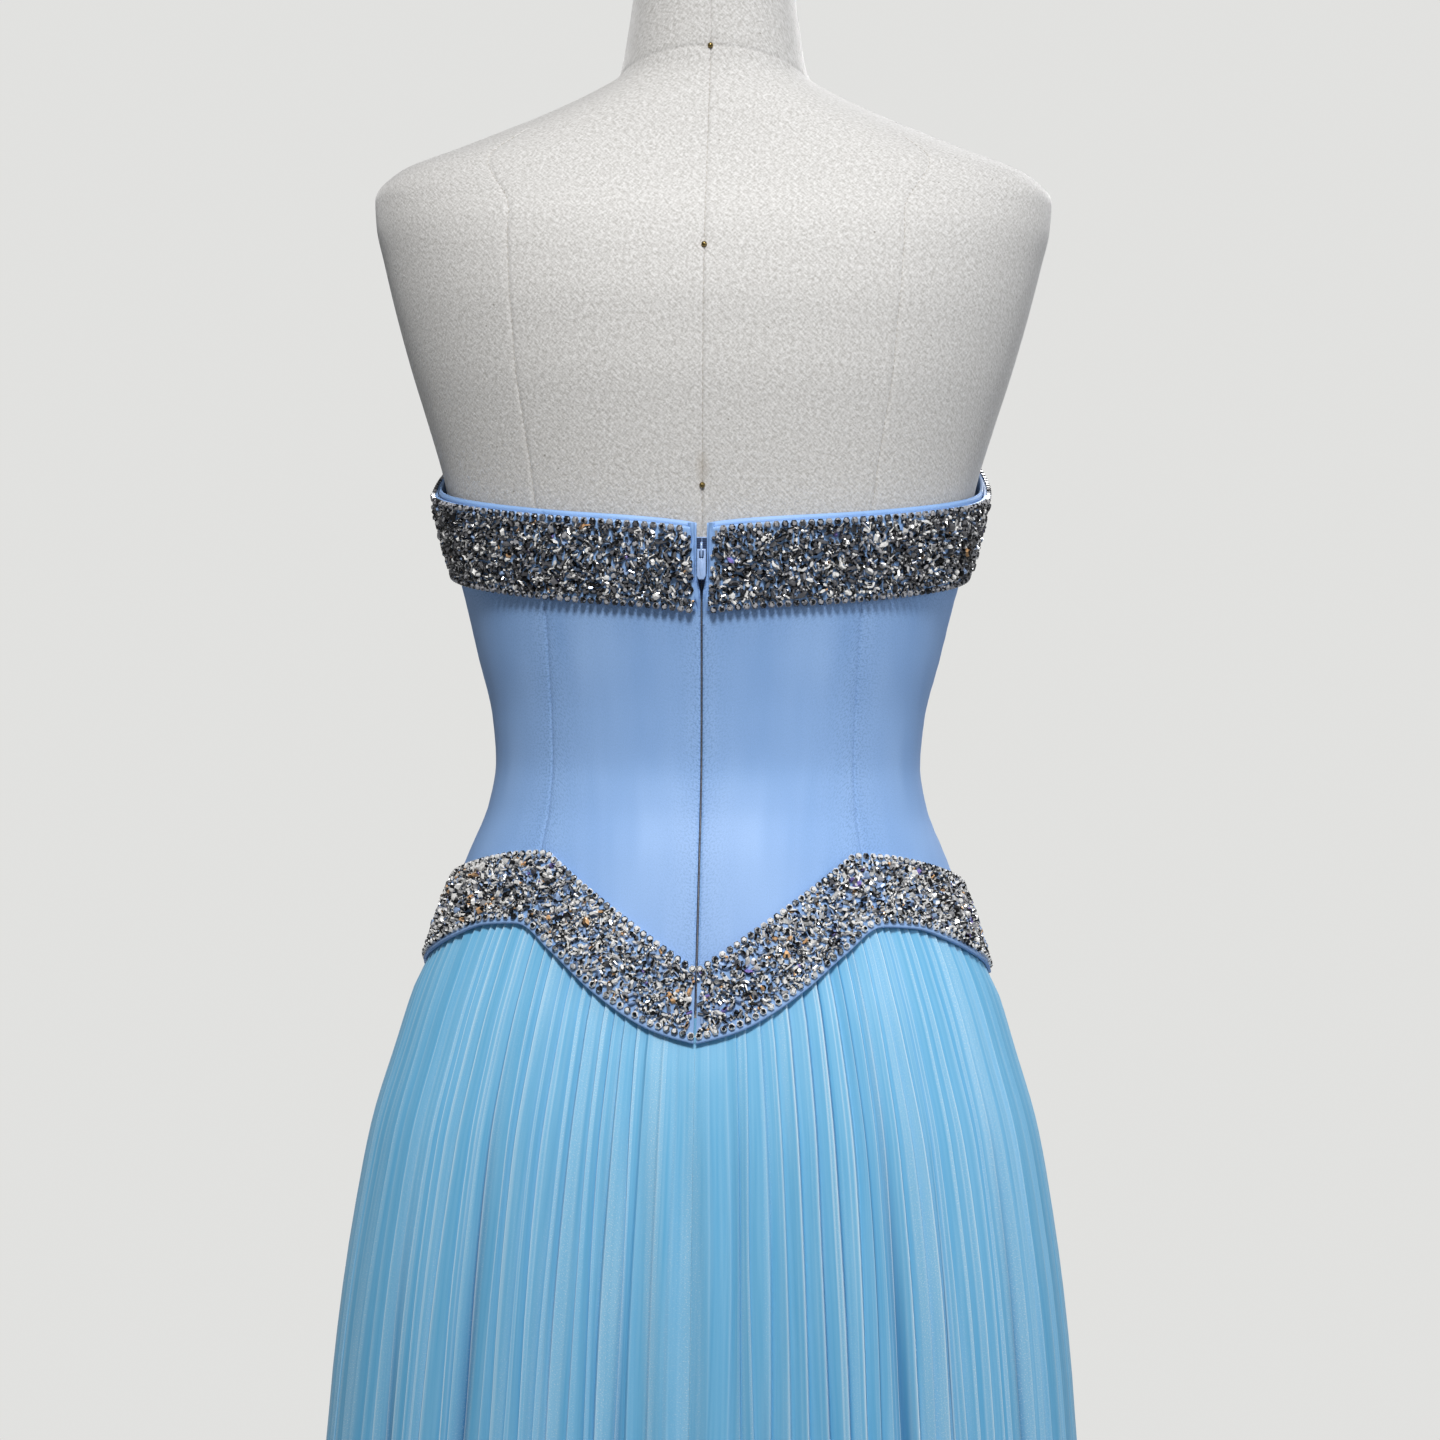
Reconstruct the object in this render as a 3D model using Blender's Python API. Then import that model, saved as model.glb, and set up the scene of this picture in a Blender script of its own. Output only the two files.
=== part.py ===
"""A-line evening dress on a limbless dress form.

A strapless boned bodice of seven satin panels closes at the centre back with an invisible zip.
A crystal band runs round its top edge. A second, scalloped one, with a V at the centre back and
at the centre front, covers the seam to a finely pleated organza skirt in three widths. The dress
stands on a canvas form, whose pole rises from a round base.

Frame: metres, +Z up, the floor at z = 0, the dress facing -Y and its centre back facing +Y.
Angles are degrees from the centre back (0) past the wearer's left side (+X, 90) to the centre
front (180); the wearer's right side is negative. Heights in the tables count from the waist.
"""

import random
from bisect import bisect_right
from collections import namedtuple
from math import atan2, cos, degrees, exp, pi, radians, sin

import bmesh
import bpy
from mathutils import Vector

# Main heights above the floor
WAIST_Z = 1.080
HEM_Z = 0.015
HEM = HEM_Z - WAIST_Z

# Layers, measured outwards from the form's canvas
SEAM_GAP = 0.0004
BODICE_INNER = 0.0026
BODICE_OUTER = 0.0046
BAND_CLEARANCE = 0.0006
BAND_WALL = 0.0021
BAND_STONES = 0.0022
SKIRT_WALL = 0.0012

# Bodice
BODICE_COLUMNS = 6
BODICE_ROWS = 10
SATIN_RIM = 0.003
PLACKET_HALF_GAP = 0.0009

# Bands
BAND_COLUMN_PITCH = 0.0112
BAND_ACROSS = (0.0, 0.10, 0.30, 0.50, 0.70, 0.90, 1.0)
BAND_INNER_ACROSS = (0.0, 0.25, 0.50, 0.75, 1.0)
BAND_MEAN_RADIUS = 0.150
BAND_RIDGE = 0.0017
LOWEST_STONE_SHARE = 0.35
HIP_BAND_OVERLAP = 0.012
TOP_BAND_END_TOP = 0.0062
TOP_BAND_END_BOTTOM = 0.0036
HIP_BAND_END = 0.0012

# Skirt
PLEATS_PER_HALF = 28
PLEAT_CREST = 0.62
PLEAT_VALLEY = 0.87
PLEAT_DEPTH_TOP = 0.0022
PLEAT_DEPTH_HEM = 0.0075
PLEATING_TOP = -0.132
CENTRE_BACK_CALM = 0.040
CENTRE_BACK_CALM_SHARE = 0.6
SKIRT_FLARE_DROP = 0.030
SKIRT_RINGS = (1.0, 0.60, 0.30, 0.13, 0.05, 0.0145, 0.0)
FOLD_GROWTH = 0.6
ARC_STEPS = 60
MITRE_LIMIT = 0.5

# Form and stand
PLAN_ROUNDNESS = 2.3
FORM_COLUMNS = 28
FORM_BOTTOM = -0.260
BUST_HEIGHT = 0.155
BUST_APEX_X = 0.082
BUST_SPREAD_X = 0.060
BUST_SPREAD_Z = 0.062
BUST_FULLNESS = 0.013
BASE_RADIUS = 0.150
BASE_THICKNESS = 0.012
COLLAR_RADIUS = 0.026
COLLAR_TOP_Z = 0.048
POLE_RADIUS = 0.015

# Zip
CHAIN_HALF_WIDTH = 0.0024
CHAIN_INNER = 0.0008
CHAIN_OUTER = 0.0018
CHAIN_BOTTOM = -0.131
CHAIN_STEPS = 24
SLIDER_HEIGHT = 0.118
SLIDER_HALF_LENGTH = 0.0062
SLIDER_HALF_WIDTH = 0.0036
SLIDER_INNER = 0.0008
SLIDER_OUTER = 0.0020
BRIDGE_HALF_WIDTH = 0.00055
PULL_AXIS_OUT = 0.0064
PULL_AXIS_UP = -0.0004
PULL_LENGTH = 0.0160
PULL_HALF_WIDTH = 0.0024
PULL_HALF_THICKNESS = 0.0005
PULL_TIP_BEVEL = Vector((0.0010, 0.0020))

Section = namedtuple("Section", "height half_width back front")
Edge = namedtuple("Edge", "angle height")
Seam = namedtuple("Seam", "height back_princess side front_princess")
Fold = namedtuple("Fold", "angle half_angle depth start")
Turned = namedtuple("Turned", "radius z")
CapRing = namedtuple("CapRing", "inset rise")
Outline = namedtuple("Outline", "out up")
Slot = namedtuple("Slot", "across up")
Band = namedtuple("Band", "name face top bottom end_bottom end_top")

# The form, from its flat underside to the cut of the neck
FIGURE = (
    Section(-0.260, 0.1520, 0.116, 0.102),
    Section(-0.220, 0.1580, 0.123, 0.108),
    Section(-0.180, 0.1600, 0.126, 0.111),
    Section(-0.150, 0.1580, 0.123, 0.110),
    Section(-0.110, 0.1500, 0.114, 0.107),
    Section(-0.080, 0.1410, 0.104, 0.104),
    Section(-0.050, 0.1290, 0.093, 0.099),
    Section(-0.022, 0.1180, 0.082, 0.094),
    Section(0.000, 0.1145, 0.078, 0.091),
    Section(0.025, 0.1165, 0.080, 0.092),
    Section(0.060, 0.1250, 0.086, 0.098),
    Section(0.093, 0.1330, 0.093, 0.108),
    Section(0.130, 0.1435, 0.098, 0.120),
    Section(0.160, 0.1500, 0.102, 0.124),
    Section(0.190, 0.1590, 0.106, 0.121),
    Section(0.220, 0.1685, 0.109, 0.113),
    Section(0.250, 0.1770, 0.109, 0.102),
    Section(0.280, 0.1845, 0.104, 0.091),
    Section(0.300, 0.1890, 0.097, 0.082),
    Section(0.316, 0.1900, 0.087, 0.072),
    Section(0.330, 0.1780, 0.079, 0.064),
    Section(0.345, 0.1410, 0.071, 0.057),
    Section(0.362, 0.0980, 0.063, 0.053),
    Section(0.375, 0.0700, 0.056, 0.050),
    Section(0.386, 0.0530, 0.050, 0.048),
    Section(0.408, 0.0487, 0.0475, 0.0455),
    Section(0.445, 0.0435, 0.0435, 0.0425),
)

# The skirt's pleat crests, from under the hip band to the hem
SKIRT = (
    Section(HEM, 0.2850, 0.260, 0.258),
    Section(-0.850, 0.2610, 0.229, 0.227),
    Section(-0.600, 0.2340, 0.196, 0.192),
    Section(-0.380, 0.2104, 0.169, 0.162),
    Section(-0.335, 0.2067, 0.163, 0.155),
    Section(-0.290, 0.2017, 0.157, 0.148),
    Section(-0.245, 0.1950, 0.150, 0.141),
    Section(-0.200, 0.1865, 0.142, 0.133),
    Section(-0.155, 0.1730, 0.131, 0.124),
    Section(-0.132, 0.1660, 0.1245, 0.119),
    Section(-0.118, 0.1610, 0.120, 0.116),
    Section(-0.090, 0.1510, 0.111, 0.110),
    Section(-0.055, 0.1370, 0.099, 0.104),
)

# Edges of the bands over one half of the dress
TOP_BAND_TOP = (
    Edge(0, 0.1285), Edge(12, 0.131), Edge(45, 0.136), Edge(90, 0.152), Edge(103, 0.163),
    Edge(125, 0.192), Edge(145, 0.207), Edge(162, 0.203), Edge(180, 0.190),
)
TOP_BAND_BOTTOM = (
    Edge(0, 0.0834), Edge(12, 0.0860), Edge(45, 0.091), Edge(90, 0.107), Edge(103, 0.117),
    Edge(125, 0.141), Edge(145, 0.154), Edge(162, 0.151), Edge(180, 0.141),
)
HIP_BAND_TOP = (
    Edge(0, -0.109), Edge(12, -0.093), Edge(24, -0.077), Edge(36, -0.061), Edge(43, -0.0515),
    Edge(46.5, -0.0475), Edge(55, -0.0485), Edge(62, -0.051), Edge(75, -0.0575), Edge(96, -0.068),
)
HIP_BAND_BOTTOM = (
    Edge(0, -0.1465), Edge(5.6, -0.1435), Edge(11, -0.1395), Edge(16, -0.134), Edge(27, -0.118),
    Edge(37.5, -0.0995), Edge(48.5, -0.0847), Edge(57, -0.086), Edge(66, -0.093),
    Edge(75, -0.101), Edge(96, -0.115),
)
HIP_BAND_LOW_ANGLE = 96

# Seam lines of the bodice, in degrees round the body
SEAMS = (
    Seam(-0.146, 46.5, 92.0, 139.0),
    Seam(-0.070, 46.5, 92.0, 139.0),
    Seam(-0.040, 50.0, 92.0, 133.0),
    Seam(0.000, 53.0, 91.0, 129.0),
    Seam(0.090, 48.0, 90.5, 141.0),
    Seam(0.150, 45.0, 90.0, 146.0),
    Seam(0.210, 45.0, 90.0, 150.0),
)

# The deepest folds of the skirt: where, how wide, how deep at the hem, and where they begin
FOLDS = (
    Fold(11, 4, 0.011, -0.24),
    Fold(42, 6, 0.017, -0.14),
    Fold(68, 5, 0.009, -0.40),
    Fold(112, 7, 0.014, -0.22),
    Fold(139, 6, 0.017, -0.16),
    Fold(167, 6, 0.012, -0.26),
    Fold(-14, 4, 0.008, -0.42),
    Fold(-37, 6, 0.015, -0.12),
    Fold(-57, 5, 0.014, -0.20),
    Fold(-106, 6, 0.012, -0.34),
    Fold(-131, 6, 0.016, -0.18),
    Fold(-158, 6, 0.013, -0.22),
)

BASE_PROFILE = (
    Turned(BASE_RADIUS - 0.003, 0.0),
    Turned(BASE_RADIUS, 0.003),
    Turned(BASE_RADIUS, BASE_THICKNESS - 0.003),
    Turned(BASE_RADIUS - 0.004, BASE_THICKNESS),
    Turned(COLLAR_RADIUS + 0.010, BASE_THICKNESS + 0.003),
    Turned(COLLAR_RADIUS, BASE_THICKNESS + 0.009),
    Turned(COLLAR_RADIUS - 0.002, COLLAR_TOP_Z - 0.002),
    Turned(COLLAR_RADIUS - 0.004, COLLAR_TOP_Z),
)
NECK_CAP_PROFILE = (
    CapRing(0.0010, 0.0000), CapRing(0.0000, 0.0015), CapRing(0.0005, 0.0040), CapRing(0.0040, 0.0060),
)

# The slider's bridge seen from the side, and the window that the pull hangs in
BRIDGE_OUTLINE = (
    Outline(0.0012, -0.0046), Outline(0.0066, -0.0046), Outline(0.0080, -0.0040),
    Outline(0.0085, -0.0026), Outline(0.0085, 0.0018), Outline(0.0080, 0.0030),
    Outline(0.0066, 0.0036), Outline(0.0012, 0.0036),
)
BRIDGE_WINDOW = (
    Outline(0.0053, -0.0024), Outline(0.0075, -0.0024), Outline(0.0075, 0.0016), Outline(0.0053, 0.0016),
)

# The pull's slot seen from the back of the dress
PULL_SLOT = (
    Slot(-0.00115, -0.0005), Slot(-0.00115, -0.0046), Slot(0.00115, -0.0046), Slot(0.00115, -0.0005),
)
PULL_TOP = 0.0005


# Reading the tables

def slope_between(low, high, column):
    """Slope of one column between two rows."""
    return (getattr(high, column) - getattr(low, column)) / (high[0] - low[0])


def slope_at(rows, index, column):
    """Slope at a row, level where the column turns, so that the curve never overshoots."""
    if index == 0 or index == len(rows) - 1:
        near = min(index, len(rows) - 2)
        return slope_between(rows[near], rows[near + 1], column)
    before = slope_between(rows[index - 1], rows[index], column)
    after = slope_between(rows[index], rows[index + 1], column)
    if before * after <= 0:
        return 0.0
    return 2 * before * after / (before + after)


def along(rows, at, column):
    """Value of one column at any value of the first column, on a smooth curve."""
    keys = [row[0] for row in rows]
    index = max(0, min(bisect_right(keys, at) - 1, len(rows) - 2))
    low, high = rows[index], rows[index + 1]
    span = high[0] - low[0]
    t = max(0.0, min(1.0, (at - low[0]) / span))
    start = getattr(low, column)
    end = getattr(high, column)
    lean_start = slope_at(rows, index, column) * span
    lean_end = slope_at(rows, index + 1, column) * span
    return (start * (1 + 2 * t) * (1 - t) ** 2 + lean_start * t * (1 - t) ** 2
            + end * t * t * (3 - 2 * t) - lean_end * t * t * (1 - t))


def ease(t):
    """Smooth step from 0 to 1."""
    t = max(0.0, min(1.0, t))
    return t * t * (3 - 2 * t)


def blend(a, b, t):
    """Straight blend from a to b."""
    return a + (b - a) * t


# Surfaces

def plan_point(rows, angle, height, out):
    """Point at an angle on a table's section, moved outwards in plan."""
    half_width = along(rows, height, "half_width")
    side = sin(radians(angle))
    depth = cos(radians(angle))
    half_depth = along(rows, height, "back" if depth > 0 else "front")
    power = PLAN_ROUNDNESS
    reach = (abs(side / half_width) ** power + abs(depth / half_depth) ** power) ** (-1 / power)
    point = Vector((reach * side, reach * depth, WAIST_Z + height))
    normal = Vector((abs(point.x / half_width) ** (power - 1) / half_width * (1 if side > 0 else -1),
                     abs(point.y / half_depth) ** (power - 1) / half_depth * (1 if depth > 0 else -1),
                     0.0))
    return point + normal.normalized() * out


def bust(point):
    """Fullness of the form's bust at a point of its front."""
    if point.y > 0:
        return 0.0
    rise = (point.z - WAIST_Z - BUST_HEIGHT) / BUST_SPREAD_Z
    lobes = sum(exp(-((point.x - apex) / BUST_SPREAD_X) ** 2) for apex in (-BUST_APEX_X, BUST_APEX_X))
    return BUST_FULLNESS * lobes * exp(-rise * rise)


def on_figure(angle, height, out=0.0):
    """Point on the form, or a layer's distance outside it."""
    point = plan_point(FIGURE, angle, height, out)
    point.y -= bust(point)
    return point


def hip_edge(rows, angle):
    """Height of a hip band edge at any angle; the front repeats the back."""
    away = abs(angle)
    if away > HIP_BAND_LOW_ANGLE:
        away = (180 - away) * HIP_BAND_LOW_ANGLE / (180 - HIP_BAND_LOW_ANGLE)
    return along(rows, away, "height")


def seam_angle(name, height):
    """Angle of a bodice seam at a height; the centre seams are straight."""
    if name == "centre_back":
        return 0.0
    if name == "centre_front":
        return 180.0
    return along(SEAMS, height, name)


def waist_stations():
    """Angles of the bodice's columns along its lower edge, over one half."""
    corners = [seam_angle(name, SEAMS[0].height)
               for name in ("centre_back", "back_princess", "side", "front_princess", "centre_front")]
    stations = [blend(start, end, column / BODICE_COLUMNS)
                for start, end in zip(corners, corners[1:]) for column in range(BODICE_COLUMNS)]
    return stations + [180.0]


WAIST_SEAM = tuple(Edge(angle, hip_edge(HIP_BAND_BOTTOM, angle) + HIP_BAND_OVERLAP)
                   for angle in waist_stations())


def waist_seam(angle):
    """Height of the seam between bodice and skirt, straight between the bodice's columns."""
    away = abs(angle)
    index = max(0, min(bisect_right([edge.angle for edge in WAIST_SEAM], away) - 1,
                       len(WAIST_SEAM) - 2))
    low, high = WAIST_SEAM[index], WAIST_SEAM[index + 1]
    return blend(low.height, high.height, (away - low.angle) / (high.angle - low.angle))


def on_dress(angle, height, out=0.0):
    """Point on the dress: the bodice's face above the waist seam, the pleat crests below it."""
    bodice = on_figure(angle, height, BODICE_OUTER + out)
    share = ease((waist_seam(angle) - height) / SKIRT_FLARE_DROP)
    if share == 0:
        return bodice
    return bodice.lerp(plan_point(SKIRT, angle, height, out), share)


def angle_beside(centre, offset, reach):
    """Angle that lies an offset along the surface from a seam."""
    return centre + degrees(offset / reach)


# Meshes

def material(name, colour, roughness, metallic=0.0):
    """Plain surface: an sRGB colour as six hex digits, its roughness and its metal share."""
    surface = bpy.data.materials.new(name)
    surface.use_nodes = True
    linear = [(int(colour[i:i + 2], 16) / 255) ** 2.2 for i in (0, 2, 4)]
    shader = surface.node_tree.nodes["Principled BSDF"]
    shader.inputs["Base Color"].default_value = (*linear, 1.0)
    shader.inputs["Roughness"].default_value = roughness
    shader.inputs["Metallic"].default_value = metallic
    return surface


def make_object(name, bm, surface, smooth_angle=40):
    """Object from a closed mesh, its faces turned outwards."""
    bmesh.ops.recalc_face_normals(bm, faces=bm.faces)
    if bm.calc_volume(signed=True) < 0:
        bmesh.ops.reverse_faces(bm, faces=bm.faces)
    mesh = bpy.data.meshes.new(name)
    bm.to_mesh(mesh)
    bm.free()
    mesh.materials.append(surface)
    mesh.shade_smooth()
    mesh.set_sharp_from_angle(angle=radians(smooth_angle))
    piece = bpy.data.objects.new(name, mesh)
    bpy.context.collection.objects.link(piece)
    return piece


def grid_faces(bm, rows):
    """Quads between neighbouring rows of vertices."""
    for lower, upper in zip(rows, rows[1:]):
        for i in range(len(lower) - 1):
            bm.faces.new((lower[i], lower[i + 1], upper[i + 1], upper[i]))


def wall(name, outer, inner, surface):
    """Closed wall between an outer and an inner grid of points with the same columns."""
    bm = bmesh.new()
    outer_verts = [[bm.verts.new(point) for point in row] for row in outer]
    inner_verts = [[bm.verts.new(point) for point in row] for row in inner]
    grid_faces(bm, outer_verts)
    grid_faces(bm, inner_verts)
    grid_faces(bm, (outer_verts[0], inner_verts[0]))
    grid_faces(bm, (outer_verts[-1], inner_verts[-1]))
    for end in (0, -1):
        outer_end = [row[end] for row in outer_verts]
        inner_end = [row[end] for row in inner_verts]
        if len(outer_end) == len(inner_end):
            grid_faces(bm, (outer_end, inner_end))
        else:
            bm.faces.new(outer_end + inner_end[::-1])
    return make_object(name, bm, surface)


def loft(name, rings, surface):
    """Solid through closed rings of points, flat at both ends."""
    bm = bmesh.new()
    loops = [[bm.verts.new(point) for point in ring] for ring in rings]
    for lower, upper in zip(loops, loops[1:]):
        for i in range(len(lower)):
            following = (i + 1) % len(lower)
            bm.faces.new((lower[i], lower[following], upper[following], upper[i]))
    bm.faces.new(loops[0])
    bm.faces.new(loops[-1])
    return make_object(name, bm, surface)


def circle(radius, z, segments=FORM_COLUMNS):
    """Ring of points about the stand's axis."""
    return [Vector((radius * cos(2 * pi * i / segments), radius * sin(2 * pi * i / segments), z))
            for i in range(segments)]


def prism(outline, low, high, hole=None):
    """Outline in (y, z), with or without a hole, swept from low to high along x."""
    bm = bmesh.new()
    loops = [outline] + ([hole] if hole else [])
    edges = []
    for loop in loops:
        verts = [bm.verts.new((low, a, b)) for a, b in loop]
        edges += [bm.edges.new((verts[i], verts[(i + 1) % len(verts)])) for i in range(len(verts))]
    faces = bmesh.ops.triangle_fill(bm, edges=edges, use_beauty=True)["geom"]
    faces = [item for item in faces if isinstance(item, bmesh.types.BMFace)]
    swept = bmesh.ops.extrude_face_region(bm, geom=faces)["geom"]
    moved = [item for item in swept if isinstance(item, bmesh.types.BMVert)]
    bmesh.ops.translate(bm, verts=moved, vec=(high - low, 0, 0))
    return bm


def facing_prism(outline, low, high, hole=None):
    """Outline in (x, z), with or without a hole, swept from low to high along y."""
    bm = prism(outline, low, high, hole)
    for vert in bm.verts:
        vert.co = Vector((vert.co.y, vert.co.x, vert.co.z))
    return bm


# Form and stand

def build_form(canvas, cap_metal):
    """Canvas torso with its neck, and the plain disc that closes the neck."""
    angles = [360 * i / FORM_COLUMNS for i in range(FORM_COLUMNS)]
    signed = [angle if angle <= 180 else angle - 360 for angle in angles]
    rings = [[on_figure(angle, section.height) for angle in signed] for section in FIGURE]
    loft("form_torso", rings, canvas)
    neck = FIGURE[-1]
    neck_centre = Vector((0, (neck.back - neck.front) / 2, WAIST_Z + neck.height + SEAM_GAP))
    cap_rings = [[point + neck_centre for point in circle(neck.half_width - row.inset, row.rise)]
                 for row in NECK_CAP_PROFILE]
    loft("form_neck_cap", cap_rings, cap_metal)


def build_stand(metal):
    """Round base turned with its collar, and the pole up to the form's underside."""
    loft("stand_base", [circle(row.radius, row.z) for row in BASE_PROFILE], metal)
    pole_ends = (COLLAR_TOP_Z + SEAM_GAP, WAIST_Z + FORM_BOTTOM - SEAM_GAP)
    loft("stand_pole", [circle(POLE_RADIUS, z) for z in pole_ends], metal)


# Bodice

def panel_grid(start, end, side, out):
    """Rows of points of one bodice panel between two seams, on one side of the body."""
    low, high = SEAMS[0].height, SEAMS[-1].height
    rows = []
    for row in range(BODICE_ROWS + 1):
        v = row / BODICE_ROWS
        points = []
        for column in range(BODICE_COLUMNS + 1):
            u = column / BODICE_COLUMNS
            foot = blend(seam_angle(start, low), seam_angle(end, low), u)
            head = blend(seam_angle(start, high), seam_angle(end, high), u)
            height = blend(waist_seam(foot) + SEAM_GAP, along(TOP_BAND_TOP, head, "height") + SATIN_RIM, v)
            angle = blend(seam_angle(start, height), seam_angle(end, height), u)
            points.append(on_figure(side * angle, height, out))
        rows.append(points)
    return rows


def trimmed(rows, gap_start, gap_end):
    """The same grid with its two end columns drawn in by a seam's half gap."""
    for points in rows:
        first, second = points[0], points[1]
        last, before = points[-1], points[-2]
        points[0] = first + (second - first).normalized() * gap_start
        points[-1] = last + (before - last).normalized() * gap_end
    return rows


def build_bodice(satin):
    """Seven panels: two at the centre back, two side backs, two side fronts and the front."""
    half_seam = SEAM_GAP / 2
    panels = (
        ("bodice_back", "centre_back", "back_princess", PLACKET_HALF_GAP),
        ("bodice_side_back", "back_princess", "side", half_seam),
        ("bodice_side_front", "side", "front_princess", half_seam),
    )
    for hand, side in (("left", 1), ("right", -1)):
        for name, start, end, gap in panels:
            skins = [trimmed(panel_grid(start, end, side, out), gap, half_seam)
                     for out in (BODICE_OUTER, BODICE_INNER)]
            wall(f"{name}_{hand}", skins[0], skins[1], satin)
    skins = []
    for out in (BODICE_OUTER, BODICE_INNER):
        left = panel_grid("front_princess", "centre_front", 1, out)
        right = panel_grid("front_princess", "centre_front", -1, out)
        whole = [row_left + row_right[-2::-1] for row_left, row_right in zip(left, right)]
        skins.append(trimmed(whole, half_seam, half_seam))
    wall("bodice_front", skins[0], skins[1], satin)


# Crystal bands

def band_angles(start, end):
    """Evenly spaced angles for a band's columns, one about every BAND_COLUMN_PITCH."""
    count = max(2, round(radians(abs(end - start)) * BAND_MEAN_RADIUS / BAND_COLUMN_PITCH))
    return [blend(start, end, i / count) for i in range(count + 1)]


def stone_height(rng, across):
    """Rise of the stones: a cup-chain ridge beside each edge, uneven stones between."""
    if across in (BAND_ACROSS[0], BAND_ACROSS[-1]):
        return 0.0
    if across in (BAND_ACROSS[1], BAND_ACROSS[-2]):
        return BAND_RIDGE
    return BAND_STONES * rng.uniform(LOWEST_STONE_SHARE, 1.0)


def band_piece(name, band, angles, beads, at_centre_back):
    """Beaded piece of a band; an end at the centre back is cut along the placket."""
    rng = random.Random(name)
    outer = [[] for _ in BAND_ACROSS]
    inner = [[] for _ in BAND_INNER_ACROSS]
    for index, angle in enumerate(angles):
        upper = band.top(angle)
        lower = band.bottom(angle)
        for rows, fractions, base in ((outer, BAND_ACROSS, BAND_CLEARANCE + BAND_WALL),
                                      (inner, BAND_INNER_ACROSS, BAND_CLEARANCE)):
            for row, across in zip(rows, fractions):
                height = blend(lower, upper, across)
                rise = stone_height(rng, across) if rows is outer else 0.0
                point_angle = angle
                if at_centre_back and index == 0:
                    offset = blend(band.end_bottom, band.end_top, across)
                    reach = on_figure(0, height).y + base
                    point_angle = angle_beside(0, offset if angles[-1] > 0 else -offset, reach)
                row.append(band.face(point_angle, height, base + rise))
    wall(name, outer, inner, beads)


def bodice_face(angle, height, out):
    """Point outside the bodice's satin."""
    return on_figure(angle, height, BODICE_OUTER + out)


def build_bands(beads):
    """Top band and hip band, each in two back pieces and a front piece, parted at the sides."""
    bands = (
        Band("top_band", bodice_face,
             lambda angle: along(TOP_BAND_TOP, abs(angle), "height"),
             lambda angle: along(TOP_BAND_BOTTOM, abs(angle), "height"),
             TOP_BAND_END_BOTTOM, TOP_BAND_END_TOP),
        Band("hip_band", on_dress,
             lambda angle: hip_edge(HIP_BAND_TOP, angle),
             lambda angle: hip_edge(HIP_BAND_BOTTOM, angle),
             HIP_BAND_END, HIP_BAND_END),
    )
    side_seam = SEAMS[0].side
    half_gap = degrees(SEAM_GAP / 2 / BAND_MEAN_RADIUS)
    for band in bands:
        for hand, side in (("left", 1), ("right", -1)):
            angles = band_angles(0, side * (side_seam - half_gap))
            band_piece(f"{band.name}_back_{hand}", band, angles, beads, True)
        left = band_angles(side_seam + half_gap, 180)
        right = [-angle for angle in left[-2::-1]]
        band_piece(f"{band.name}_front", band, left + right, beads, False)


# Skirt

def fold_depth(angle, height):
    """How far the large folds draw the skirt in at a point."""
    total = 0.0
    for fold in FOLDS:
        away = (angle - fold.angle + 180) % 360 - 180
        grown = ease((fold.start - height) / (fold.start - HEM)) ** FOLD_GROWTH
        total += fold.depth * grown * exp(-(away / fold.half_angle) ** 2)
    return total


def even_angles(start, end, height, fractions):
    """Angles at given fractions of the skirt's length round, between two angles."""
    angles = [blend(start, end, i / ARC_STEPS) for i in range(ARC_STEPS + 1)]
    points = [plan_point(SKIRT, angle, height, 0.0) for angle in angles]
    lengths = [0.0]
    for near, far in zip(points, points[1:]):
        lengths.append(lengths[-1] + (far - near).length)
    result = []
    for fraction in fractions:
        goal = fraction * lengths[-1]
        index = max(0, min(bisect_right(lengths, goal) - 1, ARC_STEPS - 1))
        share = (goal - lengths[index]) / (lengths[index + 1] - lengths[index])
        result.append(blend(angles[index], angles[index + 1], share))
    return result


def pleat_columns(centre, side_angle, ring):
    """Angle and inset of each pleat line on one ring, from a centre seam to the side seam."""
    height = blend(PLEATING_TOP, HEM, ring)
    depth = blend(PLEAT_DEPTH_TOP, PLEAT_DEPTH_HEM, ring)
    fractions = [0.0]
    insets = [depth / 2]
    for pleat in range(PLEATS_PER_HALF):
        fractions += [(pleat + PLEAT_CREST) / PLEATS_PER_HALF, (pleat + PLEAT_VALLEY) / PLEATS_PER_HALF]
        insets += [0.0, depth]
    fractions.append(1.0)
    insets.append(depth / 2)
    angles = even_angles(centre, side_angle, height, fractions)
    if centre == 0:
        breadth = [plan_point(SKIRT, angle, height, 0.0).x for angle in angles]
        calm = [CENTRE_BACK_CALM_SHARE * exp(-(x / CENTRE_BACK_CALM) ** 2) for x in breadth]
        insets = [blend(inset, depth / 2, share) for inset, share in zip(insets, calm)]
    return list(zip(angles, insets))


def ring_points(columns, ring):
    """Outer points of one ring of a skirt width."""
    points = []
    for angle, inset in columns:
        height = blend(waist_seam(angle) - SEAM_GAP, HEM, ring)
        points.append(on_dress(angle, height, -inset - fold_depth(angle, height)))
    return points


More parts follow.
